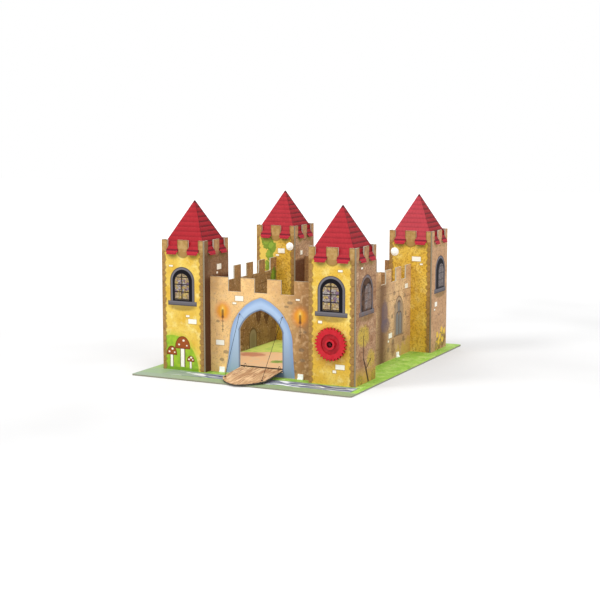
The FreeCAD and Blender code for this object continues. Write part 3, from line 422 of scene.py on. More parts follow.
def paint_window(side, middle, sill, half, high, pointed=0.0, turned=False):
    """An arched window: stone frame, dark recess and leaded glass.

    Turned glass is grey and off centre."""
    tone = colours()
    ink = side.ink
    rise = 1 + pointed
    spring = high - half * rise
    above = side.v.above(sill, 0.6)
    away = (side.u - middle).reach(((side.v - spring) / rise).most(0))
    side.lay(linear(120, 98, 52), side.disc(middle, sill - 7.5, half + 1, 0.28, soft=9) * 0.6)
    side.lay(linear(66, 62, 72), away.below(half, 0.7) * above)
    side.lay(tone.frame_grey, away.below(half - 0.9, 0.6) * above)
    side.lay(linear(142, 139, 148), side.band(away, half - 3.2, half - 1.8, 1.2) * above
             * side.u.below(middle + half * 0.6, 18) * 0.5)
    side.lay(tone.recess, away.below(half - 3.9, 0.6) * above)
    shift, glass_half = (half * 0.2, half * 0.52) if turned else (-0.8, half - 8.6)
    from_middle = side.u - (middle + shift)
    glass = from_middle.reach(((side.v - spring + 1.2) / rise).most(0))
    inside = glass.below(glass_half, 0.6) * side.v.above(sill + 2.4, 0.6)
    seams = ink.cells(3.2, feature="DISTANCE_TO_EDGE").below(0.07, 0.08)
    if turned:
        side.lay(linear(124, 117, 118), inside)
        side.lay(linear(158, 148, 146), inside * ink.noise(3.4, 2).above(0.55, 0.12) * 0.6)
    else:
        hue = ink.add("ShaderNodeSeparateColor", None, {0: ink.cells(3.2, out="Color")})
        side.lay(tone.pane_pale, inside)
        side.lay(tone.pane_violet, inside * hue.above(0.36, 0.1) * 0.85)
        side.lay(tone.pane_gold, inside * hue.above(0.7, 0.1) * 0.9)
        side.lay(tone.recess, inside * ink.noise(2.2, 2).above(0.52, 0.2) * 0.35)
        low_row = side.v.below(sill + 12.5, 2).most(side.v.above(high - 18, 2))
        side.lay(tone.pane_gold, inside * low_row * 0.5)
    side.lay(tone.iron, inside * seams * 0.6)
    row = (side.v - (sill + 2.4)) % 10.4
    bars = row.below(1.5, 0.5).most(abs(from_middle).below(0.9, 0.5))
    side.lay(tone.recess, inside * bars * (0.5 if turned else 0.95))
    side.lay(linear(74, 71, 78),
            side.box(middle - half - 3.9, sill - 5.9, middle + half + 3.5, sill + 0.4))
    side.lay(tone.frame_grey,
             side.box(middle - half - 3.3, sill - 4.7, middle + half + 2.9, sill + 0.2))
    side.lay(linear(132, 129, 136),
             side.box(middle - half - 3.1, sill - 1.6, middle + half + 2.7, sill - 0.4) * 0.5)


def paint_bush(side, across, up, radius, flowers=False):
    tone = colours()
    leaves = side.ink.noise(2.4, 3)
    away = side.away(across, up, 0.9) + (side.ink.noise(5, 3) - 0.5) * 12
    side.lay(tone.leaf_dark, away.below(radius + 1, 2.5) * leaves.above(0.4, 0.14) * 0.75)
    side.lay(tone.leaf, away.below(radius, 2.5) * leaves.above(0.54, 0.1) * 0.9)
    if flowers:
        dots = side.ink.cells(4.2).below(0.24, 0.1)
        side.lay(linear(250, 214, 60), dots * away.below(radius, 2))


def paint_tree(side, foot, crown, second):
    """A leaning tree with a bare trunk, one fork and two round crowns."""
    tone = colours()
    ragged = (side.ink.noise(6, 3) - 0.5) * 15
    leaves = side.ink.noise(2.0, 3)
    bend = (foot[0] - 8, foot[1] + 17)
    fork = (bend[0] - 8, bend[1] + 15)
    bark = side.stroke(foot, bend, 4.2).most(side.stroke(bend, fork, 3.0))
    bark = bark.most(side.stroke(fork, crown, 2.0)).most(side.stroke(bend, second, 1.8))
    for across, up, wide, tall in ((*crown, 19, 0.72), (*second, 13, 0.8)):
        away = side.away(across, up, tall) + ragged
        side.lay(linear(214, 184, 92), away.below(wide + 1, 7) * 0.55)
        side.lay(tone.leaf, away.below(wide - 1, 7) * leaves.above(0.46, 0.14) * 0.85)
        side.lay(tone.leaf_dark, away.below(wide, 6) * leaves.below(0.43, 0.1) * 0.75)
    side.lay(tone.bark, bark * 0.92)


def paint_ivy(side, across, up, radius, tall, rough, shade, light):
    """A ragged patch of leaves with a lighter patch inside it."""
    side.lay(shade, side.blob(across, up, radius, tall, rough=rough) * 0.9)
    side.lay(light, side.blob(across - 2, up + 2, radius * 0.55, tall, rough=9) * 0.8)


def paint_toadstool(side, across, foot, tall, wide):
    tone = colours()
    cap = foot + tall * 0.62
    side.lay(linear(120, 84, 60),
            side.box(across - wide * 0.17, foot, across + wide * 0.17, cap + 2))
    side.lay(linear(252, 248, 238),
            side.box(across - wide * 0.13, foot, across + wide * 0.1, cap + 2))
    dome = side.disc(across, cap, wide / 2, tall * 0.76 / wide) * side.v.above(cap - 1.4, 0.6)
    side.lay(linear(110, 50, 26), dome)
    inner = side.disc(across, cap, wide / 2 - 0.9, tall * 0.76 / wide) * side.v.above(cap - 0.4,
            0.6)
    side.lay(tone.cap, inner)
    for shift, up, radius in ((-0.24, 0.1, 1.5), (0.06, 0.24, 1.8), (0.27, 0.08, 1.2)):
        side.lay(linear(250, 240, 220),
                side.disc(across + shift * wide, cap + up * tall, radius, 0.8) * inner)


# Towers

LEFT_X, RIGHT_X, FRONT_Y, REAR_Y = -149.7, 80.7, -160.7, 123.2
TOWER_WIDE, TOWER_DEEP, TOWER_TALL = 70.0, 68.5, 185.3
BASE_TOP = 2.0
NOTCH = 169.8
FLAP_MIDDLE = 18.25


def tower_sides(ink, x, y):
    """The four printed sides of a tower, each seen from outside with across to the right."""
    up = ink.z - BASE_TOP
    front = Side(ink, ink.x - x, up, ink.facing_y.below(-0.35, 0.3) * ink.y.below(y + 1.15, 0.1))
    right = Side(ink, ink.y - y, up,
                 ink.facing_x.above(0.35, 0.3) * ink.x.above(x + TOWER_WIDE - 1.15, 0.1))
    rear = Side(ink, x + TOWER_WIDE - ink.x, up,
                ink.facing_y.above(0.35, 0.3) * ink.y.above(y + TOWER_DEEP - 1.15, 0.1))
    left = Side(ink, y + TOWER_DEEP - ink.y, up,
                ink.facing_x.below(-0.35, 0.3) * ink.x.below(x + 1.15, 0.1))
    return front, right, rear, left


def paint_lapped_edge(side):
    """The cut edge of the lapped panel and a line of painted shade beside it."""
    side.lay(linear(150, 138, 116), side.u.above(TOWER_WIDE - 2.4, 0.2))
    side.lay(linear(60, 42, 34), side.band(side.u, TOWER_WIDE - 2.6, TOWER_WIDE - 1.9, 0.2) * 0.8)


def paint_tower_stone(side, width):
    """Rough brown stone as on the towers' other sides."""
    tone = colours()
    paint_stone(side, tone.stone_brown, linear(206, 168, 132), tone.stone_deep, 1.3)
    side.lay(linear(108, 74, 50), side.ink.noise(3.2, 3).above(0.56, 0.1) * 0.5)
    # Painted shade: both upright edges of each stone side are darker, as beside the boards that stand
    # out at the towers' corners.
    side.lay(tone.stone_deep, side.u.below(1.4, 1.4).most(side.u.above(width - 1.4, 1.4)) * 0.5)
    paint_battlements(side, width, NOTCH, TOWER_TALL, True)


def make_tower_ink(name, x, y, worn, details):
    ink = board_ink(name)
    front, right, rear, left = tower_sides(ink, x, y)
    paint_plaster(front, worn)
    for side, width in ((right, TOWER_DEEP), (rear, TOWER_WIDE), (left, TOWER_DEEP)):
        paint_tower_stone(side, width)
    details(front, right, rear, left)
    paint_quoins(front, TOWER_WIDE, 4.2, 6.0)
    paint_battlements(front, TOWER_WIDE, NOTCH, TOWER_TALL, False)
    paint_lapped_edge(front)
    return ink.finish(0.5, 0.6)


def front_left_details(front, right, rear, left):
    mound = front.disc(16, -2, 43, 1.2, soft=1.2)
    front.lay(linear(190, 204, 70), front.disc(16, 0, 46, 1.2, soft=6) * 0.5)
    front.lay(linear(164, 196, 56), mound)
    front.lay(linear(124, 170, 52), mound * front.ink.noise(7, 2).above(0.5, 0.2) * 0.6)
    paint_toadstool(front, 33, 5, 44, 25)
    paint_toadstool(front, 15, 4, 30, 17)
    paint_toadstool(front, 46, 3, 19, 12)
    front.lay(linear(110, 150, 44), front.v.below(4.5, 2.0) * mound * 0.7)
    paint_window(front, 33.6, 98.6, 19.8, 147.5)
    paint_bricks(front, ((42.7, 67.8, 56.1, 74.4), (39.1, 77, 44.7, 79.6),
            (12.2, 147.3, 18.4, 149.4)))
    # Painted shade: the right side darkens below the battlements, goes dark brown lower down and
    # darkens towards its front corner beside the gate wall.
    right.lay(linear(112, 80, 54), right.v.below(166, 6) * 0.62)
    right.lay(linear(72, 36, 24), right.v.below(134, 8) * 0.85)
    right.lay(linear(84, 56, 38), right.u.below(14, 14) * 0.6)
    paint_bricks(right, ((34.5, 142, 47, 150), (33, 136.6, 37.5, 139.4)))
    paint_window(left, 34, 96, 20.5, 146, turned=True)
    paint_bricks(left, ((12, 60, 25, 67), (46, 30, 58, 36.5), (40, 152, 46, 155)))
    paint_bush(left, 14, 6, 11)
    paint_bush(left, 52, 5, 9, True)
    paint_bricks(rear, ((20, 120, 33, 127), (44, 62, 57, 69)))
    paint_bush(rear, 50, 6, 10)


def front_right_details(front, right, rear, left):
    # Painted shadow of the crank gear on the plaster.
    front.lay(linear(170, 96, 30), front.disc(33, 50, 27, soft=10) * 0.4)
    paint_window(front, 34.0, 98.2, 20.3, 147.2)
    paint_bricks(front, ((40.4, 21.9, 53.9, 28.4), (36.4, 16.6, 41.4, 20.2),
                         (14.6, 82.6, 20.5, 86), (43.7, 152.9, 50.2, 155.6)))
    paint_window(right, 35.5, 98, 22.0, 147.5, pointed=0.12, turned=True)
    right.lay(linear(132, 92, 62), right.ink.noise(7, 3).above(0.46, 0.2) * 0.4)
    right.lay(linear(198, 160, 70),
            right.v.below(18, 14) * right.ink.noise(5, 3).above(0.36, 0.2) * 0.85)
    paint_tree(right, (42, 2), (25, 65), (51, 31))
    paint_bush(right, 14, 6, 9)
    paint_bush(right, 60, 7, 8)
    paint_bricks(right, ((16, 156, 22, 158.6),))
    paint_bricks(rear, ((16, 58, 29, 65), (40, 118, 53, 125)))
    left.lay(linear(84, 50, 34), left.v.below(134, 8) * 0.7)
    paint_bricks(left, ((18, 143, 31, 150.5),))


def rear_left_details(front, right, rear, left):
    tone = colours()
    front.lay(tone.plaster, front.disc(12, 150, 26, 1.2, soft=14) * 0.85)
    for across, up, radius, tall in ((20, 160, 11, 1.2), (28, 151, 8, 1.1), (24, 137, 6, 1.6),
                                     (20, 120, 4, 2.4), (17, 101, 9, 1.2), (17, 84, 8, 1.4)):
        paint_ivy(front, across, up, radius, tall, 9, linear(110, 146, 50), linear(150, 178, 66))
    paint_bricks(front, ((39, 141.4, 51, 148.8), (35.2, 136.6, 40.9, 139.4)))
    right.lay(linear(84, 46, 30), right.v.below(131, 3) * 0.85)
    paint_bricks(right, ((18, 138, 26, 145),))
    paint_window(rear, 35, 97, 20.0, 147)
    paint_window(left, 34, 96, 20.5, 146)
    paint_bricks(rear, ((12, 66, 25, 73), (44, 34, 57, 41)))
    paint_bush(rear, 16, 7, 11, True)
    paint_bush(left, 50, 8, 12, True)


def rear_right_details(front, right, rear, left):
    paint_bricks(front, ((37.7, 139.4, 51.9, 146.4), (50.5, 133.9, 55.1, 136.3)))
    right.lay(linear(214, 170, 126), right.ink.noise(5, 3).above(0.42, 0.16) * 0.6)
    paint_window(right, 36.8, 95, 21.5, 146, pointed=0.12, turned=True)
    paint_bricks(right, ((15, 69, 25, 76), (12, 63.5, 17, 66)))
    paint_bush(right, 30, 8, 11, True)
    paint_bush(right, 50, 16, 13, True)
    for foot, tip in (((34, 2), (26, 26)), ((40, 2), (42, 30)), ((48, 2), (58, 34)),
            ((52, 2), (64, 20))):
        right.lay(linear(92, 46, 34), right.stroke(foot, tip, 2.2) * 0.8)
    for across, up in ((28, 24), (40, 20), (34, 12), (50, 14), (58, 26), (46, 30)):
        right.lay(linear(240, 200, 70), right.blob(across, up, 4.6, 1.0, rough=8, size=2) * 0.9)
    left.lay(linear(84, 46, 30), left.v.below(131, 3) * 0.8)
    paint_window(rear, 35, 97, 20.0, 147)
    paint_bricks(rear, ((14, 42, 27, 49), (45, 70, 58, 77)))
    paint_bush(rear, 54, 7, 11)


class CASTLE_OT_towers(bpy.types.Operator):
    """Prints plaster, stone, windows and plants on the four towers"""
    bl_idname = "castle.towers"
    bl_label = "Towers"

    def execute(self, context):
        for name, x, y, worn, details in (
                ("front_left_tower", LEFT_X, FRONT_Y, 0, front_left_details),
                ("front_right_tower", RIGHT_X, FRONT_Y, 0.25, front_right_details),
                ("rear_left_tower", LEFT_X, REAR_Y, 0.9, rear_left_details),
                ("rear_right_tower", RIGHT_X, REAR_Y, 0.75, rear_right_details)):
            dress([name], make_tower_ink(name, x, y, worn, details))
        return {"FINISHED"}


# Roofs

def make_roof_ink(name, x, y, faded):
    tone = colours()
    ink = Ink(name, tone.roof, 0.5)
    from_x = ink.x - x
    from_y = ink.y - y
    row = ink.z / (sizes().tile_row / MM) + (ink.noise(5, 2) - 0.5) * 0.16
    share = row % 1
    on_side = abs(ink.facing_x).above(0.5, 0.1)
    along = from_x + (from_y - from_x) * on_side
    joint = (along / 5.2 + row.floor() * 0.5) % 1
    ink.lay(linear(184, 40, 50), ink.noise(13, 2).above(0.5, 0.3) * 0.3)
    ink.lay(linear(228, 130, 144), (1 - on_side) * faded)
    # Painted shade: the side faces are darker than the front and their tile lines deeper.
    ink.lay(linear(138, 22, 32), on_side * 0.6)
    worn = ink.noise(7, 2, (1, 1, 0.3)).above(0.36, 0.3)
    ink.lay(tone.roof_line, share.below(0.34, 0.2) * (on_side * 0.48 + 0.24) * (worn * 0.6 + 0.4))
    ink.lay(linear(118, 14, 26), abs(joint - 0.5).above(0.44, 0.06) * 0.25)
    ink.lay(linear(190, 50, 58), share.above(0.72, 0.3) * 0.18)
    ridge = abs(abs(from_x) - abs(from_y))
    slope = ink.z.above(TOWER_TALL + BASE_TOP + 0.4, 0.6)
    ink.lay(tone.roof_line, ridge.below(1.3, 0.8) * slope * (on_side * 0.5 + 0.1))
    # Painted shade along the rear hip of each side face.
    ink.lay(linear(52, 8, 14), ridge.below(2.0, 1.0) * slope * on_side * from_y.above(0, 1) * 0.8)
    ink.lay(linear(66, 10, 20), ink.z.above(238, 2.5) * 0.85)
    lobe = ink.z.below(NOTCH + BASE_TOP + 0.6, 0.6)
    ink.lay(linear(176, 32, 50), lobe * 0.8)
    fold = ink.z.above(NOTCH + BASE_TOP + 0.3, 0.6) * ink.z.below(NOTCH + BASE_TOP + 2.6, 0.6)
    ink.lay(linear(104, 12, 32), fold * 0.85)
    ink.lay(linear(120, 16, 40), lobe * abs(ink.z - 168.6).below(0.5, 0.4) * 0.5)
    ink.lay(tone.board, ink.facing_z.below(-0.2, 0.2))
    ink.raise_by(share * 0.9 + ink.noise(1.2, 2) * 0.15)
    return ink.finish(0.5, 0.5)


class CASTLE_OT_roofs(bpy.types.Operator):
    """Prints rows of red tiles on the folded roofs"""
    bl_idname = "castle.roofs"
    bl_label = "Roofs"

    def execute(self, context):
        for name, x, y, faded in (("front_left_roof", LEFT_X, FRONT_Y, 0),
                ("front_right_roof", RIGHT_X, FRONT_Y, 0.04),
                                  ("rear_left_roof", LEFT_X, REAR_Y, 0.04), ("rear_right_roof",
                                          RIGHT_X, REAR_Y, 0.16)):
            middle = (x + TOWER_WIDE / 2, y + TOWER_DEEP / 2)
            dress([name], make_roof_ink(name, *middle, faded))
        return {"FINISHED"}


# Walls

GATE_FRONT, GATE_MIDDLE, GATE_HALF, WALL_TALL = -145.3, 0.5, 33.4, 135.0


def paint_torch(side, middle, up):
    """A torch in an iron holder with its glow on the stone."""
    tone = colours()
    away = side.away(middle, up, 1.1) + (side.ink.noise(5, 2) - 0.5) * 3
    side.lay(linear(230, 140, 62), away.below(11.5, 8) * 0.7)
    side.lay(tone.glow, away.below(8.5, 6) * 0.9)
    side.lay(linear(244, 196, 86), side.disc(middle, up + 3, 3.0, 1.7, soft=4) * 0.8)
    side.lay(linear(250, 216, 130), side.disc(middle, up + 4, 0.9, 2.2, soft=1.4) * 0.8)
    iron = tone.iron
    side.lay(iron, side.stroke((middle, up + 1), (middle, up - 7), 3.4, 1.4) * 0.7)
    pole = side.stroke((middle, up - 6), (middle, up - 29), 1.0)
    side.lay(linear(124, 82, 52), side.disc(middle, up - 8.2, 2.4, 0.8, soft=1.2) * 0.7)
    for height, reach in ((14, 2.0), (21, 1.7), (26, 1.4)):
        pole = pole.most(side.stroke((middle - reach, up - height), (middle + reach, up - height),
                0.9))
    side.lay(iron, pole * 0.75)


def paint_arch(side, middle):
    """Blue stone round the gate, as deep at its feet as the gate's own outline allows."""
    tone = colours()
    across = abs(side.u - middle)
    above = side.v.above(62, 3)
    curve = (across + 10.4).reach((side.v - 45.35).most(0)) - 47.2
    away = (across - GATE_HALF) * (1 - above) + curve * above
    sunk = ((45 - side.v) / 45).most(0)
    foot = (sunk + sunk * sunk) * (side.u.below(middle, 10) * 1.8 + 1.7)
    ragged = (side.ink.noise(14, 2) - 0.5) * 1.4
    outside = (across + 17.2).reach((side.v - 45).most(0)) - 66.2 + ragged - foot
    side.lay(linear(150, 112, 82), outside.below(1.4, 1.6) * 0.45)
    ring = outside.below(0, 0.6)
    side.lay(tone.arch, ring)
    side.lay(linear(184, 208, 240), ring * side.band(away, 5, 11, 6) * side.v.above(60, 40) * 0.6)
    side.lay(linear(176, 200, 222), ring * side.u.below(middle, 30) * side.v.below(60, 60) * 0.8)
    side.lay(tone.arch_deep, ring * side.v.below(26, 70) * (side.u.above(middle, 30) * 0.5 + 0.5))
    side.lay(linear(122, 156, 206), ring * outside.above(-3.7, 6) * 0.6)
    side.lay(linear(92, 104, 132), ring * away.below(1.8, 1.4) * 0.8)
    for sign in (-1, 1):
        side.lay(linear(126, 158, 204),
                 side.stroke((middle + sign * 27, 78), (middle + sign * 44, 96), 1.2,
                         1.0) * ring * 0.6)


def paint_merlons(side, notch=115.3):
    tone = colours()
    side.lay(tone.quoin_dark, side.v.above(WALL_TALL - 0.9, 0.5) * 0.5)
    side.lay(tone.stone_warm, side.v.above(notch, 5) * side.ink.noise(8, 2).above(0.45, 0.2) * 0.35)


def gate_details(ink):
    tone = colours()
    up = ink.z - BASE_TOP
    front = Side(ink, ink.x - (LEFT_X + TOWER_WIDE), up, ink.facing_y.below(-0.5, 0.2))
    back = Side(ink, ink.x - (LEFT_X + TOWER_WIDE), up, ink.facing_y.above(0.5, 0.2))
    middle = GATE_MIDDLE - (LEFT_X + TOWER_WIDE)
    front.lay(tone.stone)
    front.lay(tone.stone_warm, ink.noise(30, 3).above(0.54, 0.3) * 0.4)
    front.lay(linear(156, 112, 70), front.u.above(118, 50) * 0.9)
    front.lay(linear(226, 188, 140), ink.noise(6, 3).above(0.58, 0.16) * 0.6)
    front.lay(linear(150, 108, 72), ink.noise(1.9, 2).above(0.62, 0.1) * 0.35)
    for across, high, wide, tall in ((24.6, 28.7, 4.2, 0.6), (18, 17.5, 3.8, 0.6), (36, 44, 3, 0.6),
                                     (125.4, 104.7, 4.4, 0.5), (120, 99, 3.4, 0.5), (142.8, 41,
                                             4.4, 0.6),
                                     (144, 26.5, 4.2, 0.6), (131, 22, 4.0, 0.6), (133, 10, 3, 0.7),
                                     (12, 72, 3.0, 0.6), (148, 66, 3.0, 0.6)):
        front.lay(tone.stone_grey, front.blob(across, high, wide, tall, rough=3.2, size=2.6) * 0.62)
    paint_torch(front, 19.7, 86.5)
    paint_torch(front, 140.7, 86.5)
    paint_arch(front, middle)
    paint_bricks(front, ((39.7, 102.5, 52.7, 109.6), (35.8, 97.6, 41.7, 100.2),
                         (8.6, 38.2, 21.8, 45.3), (134.1, 108.4, 140.1, 110.8)))
    paint_merlons(front)
    paint_stone(back, tone.stone_brown, linear(196, 152, 112), tone.stone_deep)
    paint_bricks(back, ((20, 92, 33, 99), (122, 40, 135, 47), (96, 108, 104, 112)))
    back.lay(linear(120, 110, 100),
            (abs(back.u - middle) - GATE_HALF).below(7, 1.0) * back.v.below(60, 3) * 0.7)
    paint_merlons(back)


def back_details(ink):
    tone = colours()
    up = ink.z - BASE_TOP
    inner = Side(ink, ink.x - (LEFT_X + TOWER_WIDE), up, ink.facing_y.below(-0.5, 0.2))
    outer = Side(ink, LEFT_X + TOWER_WIDE + 160.4 - ink.x, up, ink.facing_y.above(0.5, 0.2))
    paint_stone(inner, linear(166, 126, 88), linear(186, 144, 102), tone.stone_deep)
    inner.lay(linear(120, 84, 56), inner.v.above(118, 6) * 0.3)
    paint_bricks(inner, ((152.5, 111.5, 156.8, 115), (60, 70, 73, 77)))
    paint_stone(outer, tone.stone_brown, linear(206, 164, 126), tone.stone_deep)
    for middle in (42, 118):
        paint_window(outer, middle, 40, 15.5, 88, pointed=0.25)
    paint_bricks(outer, ((70, 96, 83, 103), (72, 30, 85, 37), (10, 66, 22, 72.5),
            (140, 100, 152, 107)))
    for across, radius in ((12, 11), (66, 12), (92, 9), (150, 11)):
        paint_bush(outer, across, 6, radius, across > 60)
    for side in (inner, outer):
        paint_merlons(side)


def paint_lancet(side, middle, low, half, high):
    """A tall pointed window with two lights and an eye, faint as in a weathered print."""
    spring = high - half * 1.5
    above = side.v.above(low, 0.8)
    away = (side.u - middle).reach(((side.v - spring) / 1.5).most(0))
    side.lay(linear(110, 88, 74), away.below(half, 0.8) * above * 0.85)
    side.lay(linear(186, 160, 130), away.below(half - 1.4, 0.8) * above)
    side.lay(linear(118, 98, 86), away.below(half - 4.2, 0.8) * above)
    side.lay(linear(176, 154, 128), away.below(half - 5.4, 0.8) * above)
    light = half * 0.27
    pair = abs(side.u - middle) - half * 0.34
    glass = pair.reach(((side.v - spring + 8) / 1.9).most(0))
    eye = side.disc(middle, spring + 10, light, 1.5)
    side.lay(linear(104, 88, 80), glass.below(light + 1.2, 0.7) * above)
    side.lay(linear(136, 134, 132), glass.below(light, 0.7) * above)
    side.lay(linear(104, 88, 80), side.disc(middle, spring + 10, light + 1.2, 1.5))
    side.lay(linear(140, 134, 130), eye)
    leads = abs(((side.u + side.v) / 5) % 1 - 0.5).most(abs(((side.u - side.v) / 5) % 1 - 0.5))
    side.lay(linear(92, 84, 82),
            leads.above(0.45, 0.05) * (glass.below(light, 0.7) * above).most(eye) * 0.5)
    side.lay(linear(96, 82, 72),
            side.box(middle - half - 1.5, low - 2.4, middle + half + 1.5, low) * 0.6)


def side_wall_details(ink, outwards):
    """Outwards is 1 where the wall's outer side faces right, and -1 where it faces left."""
    tone = colours()
    up = ink.z - BASE_TOP
    from_front = ink.y - (FRONT_Y + TOWER_DEEP)
    long = REAR_Y - FRONT_Y - TOWER_DEEP
    right_mask = ink.facing_x.above(0.5, 0.2)
    left_mask = ink.facing_x.below(-0.5, 0.2)
    outer_mask, inner_mask = (right_mask, left_mask) if outwards > 0 else (left_mask, right_mask)
    outer = Side(ink, from_front if outwards > 0 else long - from_front, up, outer_mask)
    inner = Side(ink, from_front, up, inner_mask)
    paint_stone(outer, linear(224, 184, 136), linear(238, 200, 148), linear(112, 74, 54), 1.5)
    outer.lay(linear(164, 120, 96), ink.noise(24, 2).above(0.54, 0.2) * 0.4)
    outer.lay(linear(150, 108, 72), outer.v.below(50, 60) * 0.35)
    # Painted shadow: a dark band partway along the outer side, where the front tower's shadow falls on
    # the right wall.
    outer.lay(linear(96, 64, 44), outer.band(outer.u, 84, 120, 30) * outer.v.below(124, 16) * 0.85)
    for across, high, wide, tall in ((113, 72, 12, 1.6), (116, 54, 17, 0.6), (24, 70, 10, 1.5),
            (22, 54, 14, 0.6)):
        outer.lay(linear(104, 90, 104),
                outer.blob(across, high, wide, tall, rough=9, size=6, soft=5) * 0.6)
    for middle in (52, 168.4):
        paint_lancet(outer, middle, 33.7, 17.8, 92)
    for across, high, wide in ((150, 98, 4), (192, 90, 4), (146, 26, 5), (128, 16, 5), (196, 62, 4),
                               (142, 64, 4), (152, 78, 4), (188, 24, 5), (20, 50, 5), (46, 90, 5)):
        outer.lay(tone.stone_grey, outer.blob(across, high, wide, 0.8, rough=4, size=3) * 0.6)
    outer.lay(linear(116, 82, 60), outer.blob(146, 14, 7, 1.5, rough=6) * 0.5)
    paint_bricks(outer, ((192, 100, 204, 107), (129, 32.6, 142, 40), (126, 27, 130.5, 30.2),
            (34, 84, 47, 91)))
    for across, radius in ((206, 12), (186, 9), (166, 7)):
        outer.lay(linear(206, 172, 74), outer.blob(across, 6, radius, 1.6, rough=12) * 0.6)
    paint_stone(inner, linear(146, 114, 78), linear(172, 138, 92), linear(72, 50, 36), 1.4)
    for across, high, wide, tall in ((154, 50, 8, 1.8), (181, 46, 8, 1.7), (100, 60, 8, 1.6),
            (60, 50, 9, 1.5)):
        inner.lay(linear(86, 56, 40), inner.blob(across, high, wide, tall, rough=8) * 0.7)
    inner.lay(linear(112, 48, 36), inner.blob(168, 62, 5, 1.5, rough=5) * 0.5)
    inner.lay(linear(92, 76, 56), inner.arch(135.8, 19).below(13, 1.0) * 0.7)
    inner.lay(linear(166, 154, 126), inner.arch(135.8, 18).below(10.6, 1.4) * 0.75)
    inner.lay(linear(128, 118, 92), inner.arch(135.8, 16).below(6.5, 4) * 0.5)
    if outwards < 0:
        for across, high, radius, tall in ((205, 106, 9, 1.5), (200, 88, 8, 1.4),
                (207, 70, 6, 1.6)):
            paint_ivy(inner, across, high, radius, tall, 10, linear(96, 132, 46), linear(142, 172, 62))
    paint_bricks(inner, ((30, 88, 43, 95),))
    for side in (inner, outer):
        paint_merlons(side)


class CASTLE_OT_walls(bpy.types.Operator):
    """Prints stone, the blue gate arch, torches and windows on the walls"""
    bl_idname = "castle.walls"
    bl_label = "Walls"

    def execute(self, context):
        for name, details in (("gate_wall", gate_details), ("back_wall", back_details),
                              ("left_wall", lambda ink: side_wall_details(ink, -1)),
                              ("right_wall", lambda ink: side_wall_details(ink, 1))):
            ink = board_ink(name)
            details(ink)
            dress([name], ink.finish(0.5, 0.6))
        return {"FINISHED"}


# Base board

class CASTLE_OT_base(bpy.types.Operator):
    """Prints grass, the path and the moat on the base board"""
    bl_idname = "castle.base"
    bl_label = "Base board"

    def execute(self, context):
        tone = colours()
        ink = board_ink("base_board")
        top = Side(ink, ink.x, ink.y,
                ink.facing_z.above(0.6, 0.2) * ink.z.above(BASE_TOP - 0.3, 0.1))
        ink.lay(linear(126, 130, 108), ink.facing_z.below(0.3, 0.2) * 0.7)
        ink.lay(linear(96, 92, 78),
                ink.facing_z.below(0.3, 0.2) * abs(ink.z - 1.0).below(0.22, 0.15) * 0.6)
        top.lay(tone.grass)
        top.lay(tone.grass_pale, ink.noise(16, 3).above(0.54, 0.2) * 0.55)
        top.lay(linear(104, 154, 52), ink.noise(9, 3).above(0.58, 0.14) * 0.5)
        tufts = ink.noise(3.0, 2, (1, 0.45, 1)).above(0.66, 0.06)
        top.lay(linear(214, 226, 168), tufts * 0.5)
        court = top.box(LEFT_X + TOWER_WIDE / 2, -140, RIGHT_X + TOWER_WIDE / 2, 160, 8)
        top.lay(linear(228, 238, 124), court * ink.noise(12, 3).above(0.34, 0.3) * 0.85)
        wander = (ink.noise(26, 2) - 0.5) * 22
        edge = ink.y - ink.x * 0.42 + wander
        path = edge.below(48, 2.5) * ink.y.above(-146, 1) * top.band(ink.x + wander, -122, 104, 3)
        top.lay(linear(176, 150, 92), edge.below(50.5, 3) * ink.y.above(-146, 1)
                * top.band(ink.x + wander, -124, 106, 3) * 0.6)
        top.lay(tone.path, path)
        top.lay(linear(240, 208, 168), path * ink.noise(12, 2).above(0.52, 0.2) * 0.6)
        top.lay(linear(204, 128, 100),
                path * top.blob(-88, -8, 20, 0.8, rough=16, size=9, soft=10) * 0.8)
        for across, along, radius in ((-26, -44, 11), (-44, -96, 8), (40, -60, 12), (78, -20, 9),
                (-70, -104, 9)):
            top.lay(linear(146, 178, 78),
                    top.blob(across, along, radius, 1.0, rough=15, size=4) * 0.85)
            top.lay(linear(98, 140, 56),
                    top.blob(across, along, radius * 0.5, 1.0, rough=12, size=3) * 0.6)
        moat_wave = (ink.noise(22, 2) - 0.5) * 7
        moat = top.band(ink.y + moat_wave, -193, -166, 1.2) * top.band(ink.x + moat_wave, -128,
                156, 2)
        top.lay(linear(96, 128, 92), top.band(ink.y + moat_wave, -195.5, -163.5, 1.5)
                * top.band(ink.x + moat_wave, -131, 158.5, 2) * 0.8)
        top.lay(tone.foam, moat)
        ripple = ((ink.y + (ink.x / 9).sine() * 1.3 + (ink.noise(22, 2, (0.5, 1, 1)) - 0.5)
                * 22) / 9) % 1
        top.lay(tone.water, moat * abs(ripple - 0.5).below(0.28, 0.1) * 0.8)
        top.lay(linear(56, 58, 100), moat * abs(ripple - 0.5).below(0.12, 0.06) * 0.95)
        top.lay(linear(148, 164, 140), moat * ink.x.below(-76, 30) * 0.7)
        top.lay(linear(250, 252, 255), moat * ink.noise(12, 1, (0.4, 1, 1)).above(0.6, 0.05) * 0.95)
        top.lay(linear(78, 74, 110),
                moat * abs(ink.y + moat_wave * 1.6 + 176).below(0.9, 0.6) * 0.9)
        front_edge = ink.y.below(-196, 6)
        top.lay(tone.grass_dull, front_edge * 0.9)
        # Painted sheen: the grass turns greyer and paler towards the left front corner.
        top.lay(linear(156, 168, 150), front_edge * ink.x.below(-60, 110) * 0.6)
        top.lay(linear(144, 160, 138), ink.x.below(-104, 34) * ink.y.below(-150, 40) * 0.8)
        ink.raise_by(ink.noise(0.8, 2) * 0.1)
        dress(["base_board"], ink.finish(0.3, 0.4))
        return {"FINISHED"}


# Drawbridge

